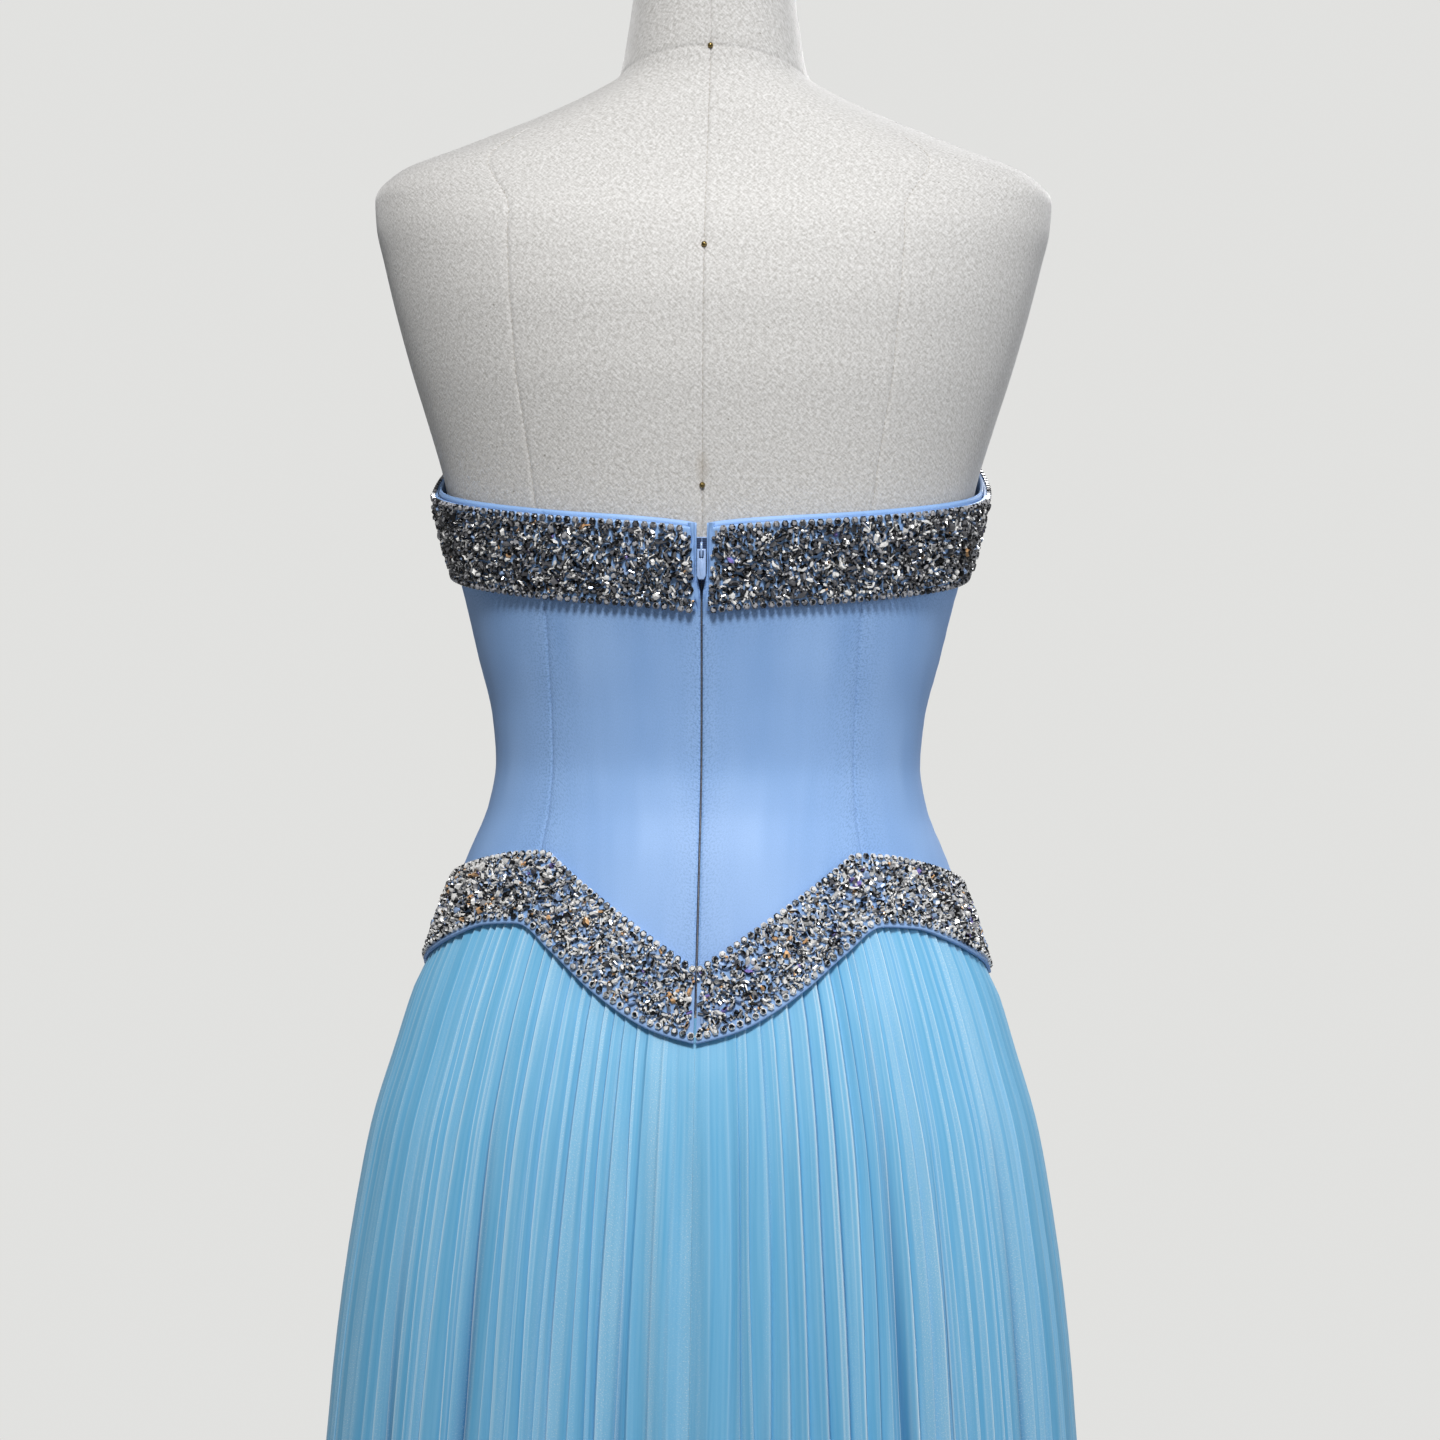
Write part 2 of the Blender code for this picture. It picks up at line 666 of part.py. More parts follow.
def thickened(points):
    """Inner points of a ring: the outer line moved in by the cloth's thickness, mitred."""
    inner = []
    for i, point in enumerate(points):
        towards_axis = Vector((-point.x, -point.y, 0)).normalized()
        if i in (0, len(points) - 1):
            inner.append(point + towards_axis * SKIRT_WALL)
            continue
        normals = []
        for near, far in ((points[i - 1], point), (point, points[i + 1])):
            normal = Vector((near.y - far.y, far.x - near.x, 0)).normalized()
            normals.append(normal if normal.dot(towards_axis) > 0 else -normal)
        bisector = (normals[0] + normals[1]).normalized()
        inner.append(point + bisector * SKIRT_WALL / max(MITRE_LIMIT, bisector.dot(normals[0])))
    return inner


def build_skirt(organza):
    """Two pleated back widths that meet at the centre back, and one front width."""
    side_seam = SEAMS[0].side
    gap = degrees(SEAM_GAP / 2 / along(SKIRT, PLEATING_TOP, "half_width"))
    centre_gap = degrees(SEAM_GAP / 2 / along(SKIRT, PLEATING_TOP, "back"))
    for hand, side in (("left", 1), ("right", -1)):
        outer = []
        for ring in SKIRT_RINGS:
            columns = pleat_columns(0, side_seam - gap, ring)
            columns[0] = (centre_gap, columns[0][1])
            outer.append(ring_points([(side * angle, inset) for angle, inset in columns], ring))
        wall(f"skirt_back_{hand}", outer, [thickened(points) for points in outer], organza)
    outer = []
    for ring in SKIRT_RINGS:
        columns = pleat_columns(180, side_seam + gap, ring)
        mirrored = [(-angle, inset) for angle, inset in columns[:0:-1]]
        outer.append(ring_points(mirrored + columns, ring))
    wall("skirt_front", outer, [thickened(points) for points in outer], organza)


# Zip

def build_chain(teeth):
    """Closed chain behind the placket, from the slider down past the V of the hip band."""
    chain_top = SLIDER_HEIGHT - SLIDER_HALF_LENGTH - SEAM_GAP
    skins = []
    for out in (CHAIN_OUTER, CHAIN_INNER):
        rows = []
        for step in range(CHAIN_STEPS + 1):
            height = blend(CHAIN_BOTTOM, chain_top, step / CHAIN_STEPS)
            reach = on_figure(0, height).y
            rows.append([on_figure(angle_beside(0, x, reach), height, out)
                         for x in (-CHAIN_HALF_WIDTH, CHAIN_HALF_WIDTH)])
        skins.append(rows)
    wall("zip_chain", skins[0], skins[1], teeth)


def slider_tilt():
    """Lean of the slider with the form's back at its height, in radians about x."""
    above = on_figure(0, SLIDER_HEIGHT + SLIDER_HALF_LENGTH)
    below = on_figure(0, SLIDER_HEIGHT - SLIDER_HALF_LENGTH)
    return -atan2(above.y - below.y, above.z - below.z)


def build_slider(enamel):
    """Flat slider body, narrower at its lower end, with the bridge that carries the pull."""
    bridge_mesh = prism(BRIDGE_OUTLINE, -BRIDGE_HALF_WIDTH, BRIDGE_HALF_WIDTH, BRIDGE_WINDOW)
    bridge = make_object("zip_slider", bridge_mesh, enamel)
    long, wide = SLIDER_HALF_LENGTH, SLIDER_HALF_WIDTH
    body_outline = ((-0.6 * wide, -long), (0.6 * wide, -long), (wide, -0.4 * long),
                    (wide, long), (-wide, long), (-wide, -0.4 * long))
    body = make_object("slider_body", facing_prism(body_outline, SLIDER_INNER, SLIDER_OUTER), enamel)
    body.hide_render = True
    body.display_type = "WIRE"
    joined = bridge.modifiers.new("body", "BOOLEAN")
    joined.operation = "UNION"
    joined.object = body
    for piece in (bridge, body):
        piece.location = on_figure(0, SLIDER_HEIGHT)
        piece.rotation_euler = (slider_tilt(), 0, 0)


def build_pull(enamel):
    """Flat pull with a slot, hanging straight down from its hinge in the bridge."""
    half, tip = PULL_HALF_WIDTH, -PULL_LENGTH
    side_bevel, end_bevel = PULL_TIP_BEVEL
    outline = ((-half, PULL_TOP), (-half, tip + end_bevel), (side_bevel - half, tip),
               (half - side_bevel, tip), (half, tip + end_bevel), (half, PULL_TOP))
    pull_mesh = facing_prism(outline, -PULL_HALF_THICKNESS, PULL_HALF_THICKNESS, PULL_SLOT)
    pull = make_object("zip_pull", pull_mesh, enamel)
    tilt = slider_tilt()
    outwards = Vector((0, cos(tilt), sin(tilt)))
    upwards = Vector((0, -sin(tilt), cos(tilt)))
    pull.location = on_figure(0, SLIDER_HEIGHT) + outwards * PULL_AXIS_OUT + upwards * PULL_AXIS_UP


def main():
    """Builds the whole dress on its form."""
    for old in list(bpy.data.objects):
        bpy.data.objects.remove(old)
    canvas = material("form_canvas", "CFCDCB", 0.9)
    painted = material("stand_paint", "D9D9D8", 0.45)
    satin = material("bodice_satin", "97B7E1", 0.35)
    organza = material("skirt_organza", "81B5D7", 0.55)
    beads = material("crystal_beads", "7C838D", 0.2, 0.6)
    teeth = material("zip_tape", "7B9CC7", 0.6)
    enamel = material("zip_enamel", "7D97BE", 0.35)
    build_stand(painted)
    build_form(canvas, painted)
    build_bodice(satin)
    build_bands(beads)
    build_skirt(organza)
    build_chain(teeth)
    build_slider(enamel)
    build_pull(enamel)


main()
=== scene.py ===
"""Looks of the a-line evening dress on its dress form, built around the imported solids.

Frame: metres, +Z up, the dress facing -Y and its centre back facing +Y. Angles are degrees from the
centre back (0) past the wearer's left side (+X, 90) to the centre front (180); the wearer's right
side is negative. Heights count from the waist.
"""

import bmesh
import bpy
import numpy as np
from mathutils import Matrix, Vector


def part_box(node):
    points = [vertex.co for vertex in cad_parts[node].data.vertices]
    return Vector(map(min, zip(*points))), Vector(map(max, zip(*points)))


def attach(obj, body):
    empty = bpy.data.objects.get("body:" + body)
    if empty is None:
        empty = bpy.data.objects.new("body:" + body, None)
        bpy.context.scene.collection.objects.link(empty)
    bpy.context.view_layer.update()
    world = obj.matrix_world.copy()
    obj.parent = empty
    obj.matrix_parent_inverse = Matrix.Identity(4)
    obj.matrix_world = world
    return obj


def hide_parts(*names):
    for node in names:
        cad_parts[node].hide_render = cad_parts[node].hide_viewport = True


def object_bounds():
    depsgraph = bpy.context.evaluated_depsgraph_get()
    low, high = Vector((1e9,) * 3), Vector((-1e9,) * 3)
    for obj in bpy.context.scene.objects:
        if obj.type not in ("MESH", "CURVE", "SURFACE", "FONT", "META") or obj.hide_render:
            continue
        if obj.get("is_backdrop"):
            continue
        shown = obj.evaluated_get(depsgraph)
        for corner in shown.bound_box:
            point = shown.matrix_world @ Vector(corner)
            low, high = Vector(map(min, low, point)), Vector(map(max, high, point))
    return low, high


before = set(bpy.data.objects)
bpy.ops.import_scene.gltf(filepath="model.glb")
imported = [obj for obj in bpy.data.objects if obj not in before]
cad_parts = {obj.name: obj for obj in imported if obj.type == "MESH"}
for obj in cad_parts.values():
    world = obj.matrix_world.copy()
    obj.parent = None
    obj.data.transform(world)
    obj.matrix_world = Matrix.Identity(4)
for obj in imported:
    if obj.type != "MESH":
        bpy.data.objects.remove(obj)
cad_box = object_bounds()
scene = bpy.context.scene


# Studio. A plain pale floor of matt paint in a pale room. A gridded softbox hangs high above the
# camera, a weak fill stands on the photographer's right, a third box lights the dress's front, and a
# wide one under the ceiling lights the floor. The camera stands behind the dress at waist height.
BODY = "dress_and_form"
CAMERA_DISTANCE = 2.6
CAMERA_HEIGHT = 1.105
CAMERA_ANGLE = -2.4
CAMERA_SIDESTEP = 0.0065
CAMERA_ROLL = 0.5
LENS_MM = 115.6
SENSOR_MM = 36.0
FLOOR_RADIUS = 4.2
FLOOR_STEPS = 96
ROOM_LIGHT = 0.15
ROOM_SEEN = 0.86


def colour(code):
    """Linear colour from an sRGB one written as six hex digits."""
    shares = np.array([int(code[i:i + 2], 16) / 255 for i in (0, 2, 4)])
    linear = np.where(shares <= 0.04045, shares / 12.92, ((shares + 0.055) / 1.055) ** 2.4)
    return (*linear.tolist(), 1.0)


def feed(node, inputs):
    """Sets inputs of a node, each to a value, an output socket or another node's first output."""
    for key, value in inputs.items():
        if isinstance(value, bpy.types.Node):
            value = value.outputs[0]
        if isinstance(value, bpy.types.NodeSocket):
            node.id_data.links.new(value, node.inputs[key])
        else:
            node.inputs[key].default_value = value
    return node


def add(tree, kind, inputs=None, **settings):
    """Adds a node with its settings and inputs; a short kind takes its tree's own prefix."""
    node = tree.nodes.new(kind if "Node" in kind else tree.bl_idname.replace("Tree", kind))
    for name, value in settings.items():
        setattr(node, name, value)
    return feed(node, inputs or {})


def ramp(tree, share, *stops, interpolation="LINEAR"):
    """Colour ramp through stops, each a place and an sRGB code."""
    node = add(tree, "ValToRGB", {"Fac": share})
    node.color_ramp.interpolation = interpolation
    elements = node.color_ramp.elements
    elements.remove(elements[1])
    elements[0].position, elements[0].color = stops[0][0], colour(stops[0][1])
    for place, code in stops[1:]:
        elements.new(place).color = colour(code)
    return node


def mixed(tree, share, first, second, **settings):
    """Colour between two, each a node, a socket or an sRGB code."""
    first, second = (colour(drag_fold_shade_and_sheen) if isinstance(drag_fold_shade_and_sheen, str) else drag_fold_shade_and_sheen for drag_fold_shade_and_sheen in (first, second))
    return add(tree, "Mix", {0: share, 6: first, 7: second}, data_type="RGBA", **settings).outputs[2]


def ranged(tree, value, low, high, to_low=0.0, to_high=1.0):
    """Value moved from one range to another and held inside it."""
    return add(tree, "MapRange", {"Value": value, "From Min": low, "From Max": high, "To Min": to_low,
                                  "To Max": to_high})


def surface(name, **values):
    """New material, its node tree and its shader with fixed values on the shader's own sockets."""
    material = bpy.data.materials.new(name)
    material.use_nodes = True
    shader = material.node_tree.nodes["Principled BSDF"]
    for key, value in values.items():
        shader.inputs[key.replace("_", " ").title().replace("Ior", "IOR")].default_value = value
    return material, material.node_tree, shader


def mottled(name, scale, dark, light, detail=2.0, relief=None, **values):
    """Material that varies between two tones over the object, with a relief's strength and depth."""
    material, tree, shader = surface(name, **values)
    place = add(tree, "TexCoord")
    spots = add(tree, "TexNoise", {"Vector": place.outputs["Object"], "Scale": scale, "Detail": detail})
    feed(shader, {"Base Color": ramp(tree, spots, (0, dark), (1, light))})
    if relief:
        feed(shader, {"Normal": add(tree, "Bump", {"Height": spots, "Strength": relief[0],
                                                   "Distance": relief[1]})})
    return material


def placed(name, data):
    """Object at the origin that shows a mesh or holds a lamp or camera."""
    piece = bpy.data.objects.new(name, data)
    scene.collection.objects.link(piece)
    return piece


def softbox(name, place, aim, size, power, drag_fold_shade_and_sheen, spread=180.0):
    """Square area light that faces a point; a grid in front of it narrows its spread, in degrees."""
    lamp = bpy.data.lights.new(name, "AREA")
    lamp.size = size
    lamp.spread = np.radians(spread)
    lamp.energy = power
    lamp.color = colour(drag_fold_shade_and_sheen)[:3]
    holder = placed(name, lamp)
    holder.location = place
    holder.rotation_euler = (Vector(aim) - Vector(place)).to_track_quat("-Z", "Y").to_euler()


softbox("key_light", (-0.06, 1.65, 2.70), (0, 0.08, 1.20), 0.5, 4.1, "FFFEFC", spread=50.0)
softbox("fill_light", (-2.4, 0.9, 1.85), (0, 0, 1.30), 1.0, 2.0, "F4F8FF", spread=60.0)
softbox("front_light", (-0.9, -2.3, 2.4), (0, 0, 1.0), 1.0, 44, "FFFFFF")
softbox("ceiling_light", (0, 0, 3.8), (0, 0, 0), 11.0, 76, "FFFFFF", spread=70.0)

angle = np.radians(CAMERA_ANGLE)
outwards = Vector((np.sin(angle), np.cos(angle), 0))
photographers_right = Vector((-np.cos(angle), np.sin(angle), 0))
camera_data = bpy.data.cameras.new("camera")
camera_data.lens = LENS_MM
camera_data.sensor_width = SENSOR_MM
camera = placed("camera", camera_data)
camera.location = outwards * CAMERA_DISTANCE + photographers_right * CAMERA_SIDESTEP
camera.location.z = CAMERA_HEIGHT
camera.rotation_euler = (-outwards).to_track_quat("-Z", "Y").to_euler()
camera.rotation_euler.rotate_axis("Z", np.radians(CAMERA_ROLL))
scene.camera = camera
scene.view_settings.view_transform = "Standard"

world = bpy.data.worlds.new("pale_room")
world.use_nodes = True
scene.world = world
air = world.node_tree
seen = add(air, "Background", {"Color": colour("F1F1EF"), "Strength": ROOM_SEEN})
lit = add(air, "Background", {"Color": colour("F4F6FA"), "Strength": ROOM_LIGHT})
path = add(air, "LightPath")
both = add(air, "MixShader", {0: path.outputs["Is Camera Ray"], 1: lit, 2: seen})
feed(air.nodes["World Output"], {"Surface": both})

# Matt floor paint: no gloss, a faint cloudiness a hand wide.
floor_paint = mottled("matt_floor_paint", 9.0, "DCDCDA", "E6E6E4", detail=4.0, roughness=0.92)
around = np.linspace(0, 2 * np.pi, FLOOR_STEPS, endpoint=False)
floor_mesh = bpy.data.meshes.new("floor")
floor_mesh.from_pydata([(FLOOR_RADIUS * np.cos(a), FLOOR_RADIUS * np.sin(a), 0) for a in around], [],
                       [range(len(around))])
floor_mesh.materials.append(floor_paint)
placed("floor", floor_mesh)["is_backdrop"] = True


# Stand. Round steel base with its turned collar, and the steel pole that carries the form; both are
# powder-coated off-white. The collar is welded to the base, and the pole is pressed into it.
TURN_STEPS = 96
POLE_RADIUS = 0.015
BASE_PROFILE = ((0.1462, 0.0), (0.1490, 0.0010), (0.1500, 0.0036), (0.1500, 0.0080), (0.1492, 0.0104),
                (0.1470, 0.0118), (0.1440, 0.0122), (0.0400, 0.0150), (0.0330, 0.0164), (0.0285, 0.0190),
                (0.0265, 0.0225), (0.0260, 0.0260), (0.0260, 0.0450), (0.0254, 0.0468), (0.0240, 0.0478),
                (0.0220, 0.0480))
POLE_PROFILE = ((POLE_RADIUS, 0.0484), (POLE_RADIUS, 0.8196))

# Powder coat: off-white, satin gloss, with orange peel about 1 mm across.
powder_coat, tree, shader = surface("powder_coated_steel", roughness=0.42, base_color=colour("D6D6D4"))
place = add(tree, "TexCoord").outputs["Object"]
peel = add(tree, "TexNoise", {"Vector": place, "Scale": 900.0, "Detail": 2.0})
wear = add(tree, "TexNoise", {"Vector": place, "Scale": 14.0, "Detail": 5.0})
relief = add(tree, "Bump", {"Height": peel, "Strength": 0.25, "Distance": 0.0002})
feed(shader, {"Roughness": ranged(tree, wear, 0.0, 1.0, 0.34, 0.52), "Normal": relief})


def flip_inwards(mesh):
    """Turns the faces of a closed mesh outwards if they point inwards."""
    shape = bmesh.new()
    shape.from_mesh(mesh)
    if shape.calc_volume(signed=True) < 0:
        bmesh.ops.reverse_faces(shape, faces=shape.faces)
        shape.to_mesh(mesh)
    shape.free()


def turned(name, profile, finish, centre=(0.0, 0.0), steps=TURN_STEPS):
    """Solid of revolution through (radius, z) rows, flat at both ends."""
    turns = np.linspace(0, 2 * np.pi, steps, endpoint=False)
    verts = [(centre[0] + r * np.cos(a), centre[1] + r * np.sin(a), z) for r, z in profile for a in turns]
    faces = [(row * steps + i, row * steps + (i + 1) % steps, (row + 1) * steps + (i + 1) % steps,
              (row + 1) * steps + i) for row in range(len(profile) - 1) for i in range(steps)]
    faces.append(range(steps)[::-1])
    faces.append(range((len(profile) - 1) * steps, len(profile) * steps))
    mesh = bpy.data.meshes.new(name)
    mesh.from_pydata(verts, [], faces)
    mesh.materials.append(finish)
    flip_inwards(mesh)
    mesh.shade_smooth()
    mesh.set_sharp_from_angle(angle=np.radians(35))
    return placed(name, mesh)


for name, profile, node in (("round_base", BASE_PROFILE, "stand_base"),
                            ("steel_pole", POLE_PROFILE, "stand_pole")):
    piece = turned(name, profile, powder_coat)
    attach(piece, BODY)
    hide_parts(node)


# Form. A padded torso without limbs, covered in natural-white canvas in eight panels whose seams run
# down the centre back, the centre front, the sides and through the shoulder blades; the neck is a
# piece of its own. Brass pins mark the centre back, and a plain painted disc closes the neck.
WAIST_Z = 1.080
PLAN_ROUNDNESS = 2.3
BUST_HEIGHT = 0.155
BUST_APEX_X = 0.082
BUST_SPREAD_X = 0.060
BUST_SPREAD_Z = 0.062
BUST_FULLNESS = 0.013
# Columns: height, half width, depth of the back, depth of the front
FIGURE = np.array((
    (-0.260, 0.1520, 0.116, 0.102), (-0.220, 0.1580, 0.123, 0.108), (-0.180, 0.1600, 0.126, 0.111),
    (-0.150, 0.1580, 0.123, 0.110), (-0.110, 0.1500, 0.114, 0.107), (-0.080, 0.1410, 0.104, 0.104),
    (-0.050, 0.1290, 0.093, 0.099), (-0.022, 0.1180, 0.082, 0.094), (0.000, 0.1145, 0.078, 0.091),
    (0.025, 0.1165, 0.080, 0.092), (0.060, 0.1250, 0.086, 0.098), (0.093, 0.1330, 0.093, 0.108),
    (0.130, 0.1435, 0.098, 0.120), (0.160, 0.1500, 0.102, 0.124), (0.190, 0.1590, 0.106, 0.121),
    (0.220, 0.1685, 0.109, 0.113), (0.250, 0.1770, 0.109, 0.102), (0.280, 0.1845, 0.104, 0.091),
    (0.300, 0.1890, 0.097, 0.082), (0.316, 0.1900, 0.087, 0.072), (0.330, 0.1780, 0.079, 0.064),
    (0.345, 0.1410, 0.071, 0.057), (0.362, 0.0980, 0.063, 0.053), (0.375, 0.0700, 0.056, 0.050),
    (0.386, 0.0530, 0.050, 0.048), (0.408, 0.0487, 0.0475, 0.0455), (0.445, 0.0435, 0.0435, 0.0425),
))
# Columns: height, angle of the back princess seam, of the side seam, of the front princess seam
FORM_SEAMS = np.array((
    (-0.260, 47.0, 90.0, 140.0), (-0.100, 48.0, 90.0, 138.0), (0.000, 50.0, 90.0, 132.0),
    (0.140, 48.0, 90.0, 143.0), (0.240, 48.5, 90.0, 143.0), (0.300, 52.0, 90.0, 136.0),
    (0.345, 66.0, 90.0, 115.0), (0.445, 66.0, 90.0, 115.0),
))
FORM_SEAM_TOP = 0.350
FORM_COLUMN_STEP = 0.006
GIRTH_TAKEN_AT = 0.15
SEAM_OFFSETS = (0.0005, 0.0012, 0.0026)
SEAM_CLEAR = 0.004
SEAM_GROOVE = 0.0006
SEAM_GROOVE_WIDTH = 0.0008
NECK_SEAM_HEIGHT = 0.3797
NECK_SEAM_RISE = 0.0177
NECK_SEAM_SPREAD = 0.016
NECK_SEAM_ROWS = (-0.009, -0.0045, -0.0018, -0.0009, 0.0, 0.0009, 0.0018, 0.0045)
PIN_HEIGHTS = (0.3974, 0.282, 0.152)
PIN_RADIUS = 0.0016
PIN_STANDS_OUT = 0.35
PIN_DIMPLE = 0.0007
PIN_DIMPLE_WIDTH = 0.006
STAIN_ABOVE_PIN = 0.010
CAP_PROFILE = ((0.0425, 0.0), (0.0435, 0.0012), (0.0435, 0.0030), (0.0431, 0.0044), (0.0420, 0.0054),
               (0.0395, 0.0060))
SEAM_GAP = 0.0004


def along(rows, at):
    """Values of a table's columns at any places of its first one, on smooth curves without overshoot."""
    keys, values = rows[:, 0], rows[:, 1:]
    slopes = np.diff(values, axis=0) / np.diff(keys)[:, None]
    same_way = slopes[:-1] * slopes[1:] > 0
    total = np.where(same_way, slopes[:-1] + slopes[1:], 1.0)
    lean = np.concatenate((slopes[:1], np.where(same_way, 2 * slopes[:-1] * slopes[1:] / total, 0.0),
                           slopes[-1:]))
    at = np.asarray(at, float)
    i = np.clip(np.searchsorted(keys, at, side="right") - 1, 0, len(keys) - 2)
    span = (keys[i + 1] - keys[i])[..., None]
    t = np.clip((at - keys[i]) / (keys[i + 1] - keys[i]), 0, 1)[..., None]
    return (values[i] * (1 + 2 * t) * (1 - t) ** 2 + lean[i] * span * t * (1 - t) ** 2
            + values[i + 1] * t * t * (3 - 2 * t) - lean[i + 1] * span * t * t * (1 - t))


def ease(t):
    """Smooth step from 0 to 1."""
    t = np.clip(t, 0, 1)
    return t * t * (3 - 2 * t)


def bump(distance, width):
    """Bell curve: 1 at the middle, falling off over a width."""
    return np.exp(-(distance / width) ** 2)


def plan_point(rows, angle, height, out):
    """Points at angles on a table's sections, moved outwards in plan."""
    angle, height, out = np.broadcast_arrays(np.asarray(angle, float), height, out)
    half_width, back, front = np.moveaxis(along(rows, height), -1, 0)
    side, depth = np.sin(np.radians(angle)), np.cos(np.radians(angle))
    half_depth = np.where(depth > 0, back, front)
    power = PLAN_ROUNDNESS
    reach = (np.abs(side / half_width) ** power + np.abs(depth / half_depth) ** power) ** (-1 / power)
    x, y = reach * side, reach * depth
    lean_x = np.abs(x / half_width) ** (power - 1) / half_width * np.sign(side)
    lean_y = np.abs(y / half_depth) ** (power - 1) / half_depth * np.sign(depth)
    away = out / np.hypot(lean_x, lean_y)
    return np.stack((x + lean_x * away, y + lean_y * away, WAIST_Z + height), -1)


def on_figure(angle, height, out=0.0):
    """Points on the form, or a layer's distance outside it."""
    points = plan_point(FIGURE, angle, height, out)
    rise = bump(points[..., 2] - WAIST_Z - BUST_HEIGHT, BUST_SPREAD_Z)
    lobes = sum(bump(points[..., 0] - apex, BUST_SPREAD_X) for apex in (-BUST_APEX_X, BUST_APEX_X))
    points[..., 1] -= np.where(points[..., 1] <= 0, BUST_FULLNESS * lobes * rise, 0.0)
    return points


def laid_flat(points, middle=0):
    """Place of each grid point on its cloth laid flat, in metres from one column and the first row."""
    across = np.linalg.norm(np.diff(points, axis=1), axis=2)
    upwards = np.linalg.norm(np.diff(points, axis=0), axis=2)
    u = np.pad(np.cumsum(across, axis=1), ((0, 0), (1, 0)))
    v = np.pad(np.cumsum(upwards, axis=0), ((1, 0), (0, 0)))
    return np.stack((u - u[:, middle:middle + 1], v), -1)


def grid_cells(rows, columns):
    """Corners of the quads of a grid, as flat places in it."""
    flat = np.arange(rows * columns).reshape(rows, columns)
    return np.stack((flat[:-1, :-1], flat[:-1, 1:], flat[1:, 1:], flat[1:, :-1]), -1).reshape(-1, 4)


def finish_cloth(name, verts, quads, uv, finish, ends=(), marks=None):
    """Smooth closed piece from quads, with a UV map in metres for each corner and marks for each vertex."""
    mesh = bpy.data.meshes.new(name)
    mesh.from_pydata(verts.reshape(-1, 3).tolist(), [], quads.tolist() + [list(end) for end in ends])
    layer = mesh.uv_layers.new(name="cloth")
    corners = np.zeros((len(mesh.loops), 2), np.float32)
    corners[:len(uv)] = uv
    layer.data.foreach_set("uv", corners.ravel())
    for mark, values in (marks or {}).items():
        mesh.attributes.new(mark, "FLOAT", "POINT").data.foreach_set("value", values.astype(np.float32))
    mesh.materials.append(finish)
    flip_inwards(mesh)
    mesh.shade_smooth()
    mesh.set_sharp_from_angle(angle=np.radians(55))
    return placed(name, mesh)


# Canvas: twilled cotton, matt. Its uneven threads are 0.45 mm thick on the real one and drawn
# 1.2 mm thick and 3 mm long, so that they show. Dark flecks of seed husk come here and there, and
# rust from the lowest pin has run into a faint brown stain above it.
canvas, tree, shader = surface("natural_canvas", roughness=0.93, sheen_weight=0.5)
cloth = add(tree, "UVMap", uv_map="cloth")
threads = []
for turned_by, long in ((0.78, 0.0034), (-0.86, 0.0026)):
    lie = add(tree, "Mapping", {"Vector": cloth, "Rotation": (0, 0, turned_by), "Scale": (long, 0.0012, 1.0)},
              vector_type="TEXTURE")
    threads.append(add(tree, "TexNoise", {"Vector": lie, "Scale": 1.0, "Detail": 1.0}))
weave = add(tree, "Math", {0: threads[0], 1: threads[1]}, operation="ADD")
slubs = add(tree, "TexNoise", {"Vector": cloth, "Scale": 900.0, "Detail": 2.0, "Roughness": 0.7})
thread = add(tree, "Math", {0: weave, 1: slubs}, operation="ADD")
base = mixed(tree, ranged(tree, thread, 1.15, 1.85), "ACAAA7", "D5D4D3")
flecks = add(tree, "TexVoronoi", {"Vector": cloth, "Scale": 62.0})
aged = mixed(tree, ranged(tree, flecks, 0.030, 0.045, 0.62, 0.0), base, "6B665C")
stain_lie = add(tree, "Mapping", {"Vector": add(tree, "TexCoord").outputs["Object"],
                                  "Location": (0.0, 0.0, -(WAIST_Z + PIN_HEIGHTS[-1] + STAIN_ABOVE_PIN)),
                                  "Scale": (1.0, 0.0, 1.0)})
stain_drag = add(tree, "VectorMath", {0: stain_lie, 1: (190.0, 0.0, 90.0)}, operation="MULTIPLY")
from_stain = add(tree, "VectorMath", {0: stain_drag}, operation="LENGTH").outputs["Value"]
rusted = mixed(tree, ranged(tree, from_stain, 0.0, 1.0, 0.30, 0.0), aged, "8E7C5E")
relief = add(tree, "Bump", {"Height": thread, "Strength": 0.45, "Distance": 0.0004})
feed(shader, {"Base Color": rusted, "Normal": relief})

# Columns of the torso: each seam has close columns beside it, and even ones fill the panels.
row_heights = np.concatenate((np.linspace(-0.260, 0.270, 76), np.linspace(0.276, 0.365, 34),
                              NECK_SEAM_HEIGHT + np.array(NECK_SEAM_ROWS), np.linspace(0.390, 0.445, 16)))
seams = np.pad(along(FORM_SEAMS, row_heights), ((0, 0), (1, 1)), constant_values=((0, 0), (0, 180)))
half_turn = on_figure(np.linspace(0, 180, 181), GIRTH_TAKEN_AT)
half_girth = np.linalg.norm(np.diff(half_turn, axis=0), axis=1).sum()
reach = half_girth / np.pi
columns, distances, seam_numbers = [], [], []
for panel in range(4):
    start, end = seams[:, panel], seams[:, panel + 1]
    width = np.radians((end - start).mean()) * reach
    inside = np.linspace(0, width, max(4, round(width / FORM_COLUMN_STEP)))[1:-1]
    inside = inside[(inside > SEAM_CLEAR) & (inside < width - SEAM_CLEAR)]
    for offset in np.concatenate(((0.0,), SEAM_OFFSETS, inside, width - np.array(SEAM_OFFSETS)[::-1])):
        columns.append(start + (end - start) * offset / width)
        distances.append(min(offset, width - offset))
        seam_numbers.append(panel if offset < width / 2 else panel + 1)
columns.append(seams[:, 4])
distances.append(0.0)
seam_numbers.append(4)
half_angles = np.array(columns).T
angles = np.concatenate((-half_angles[:, :0:-1], half_angles), 1)
distance = np.concatenate((distances[:0:-1], distances))
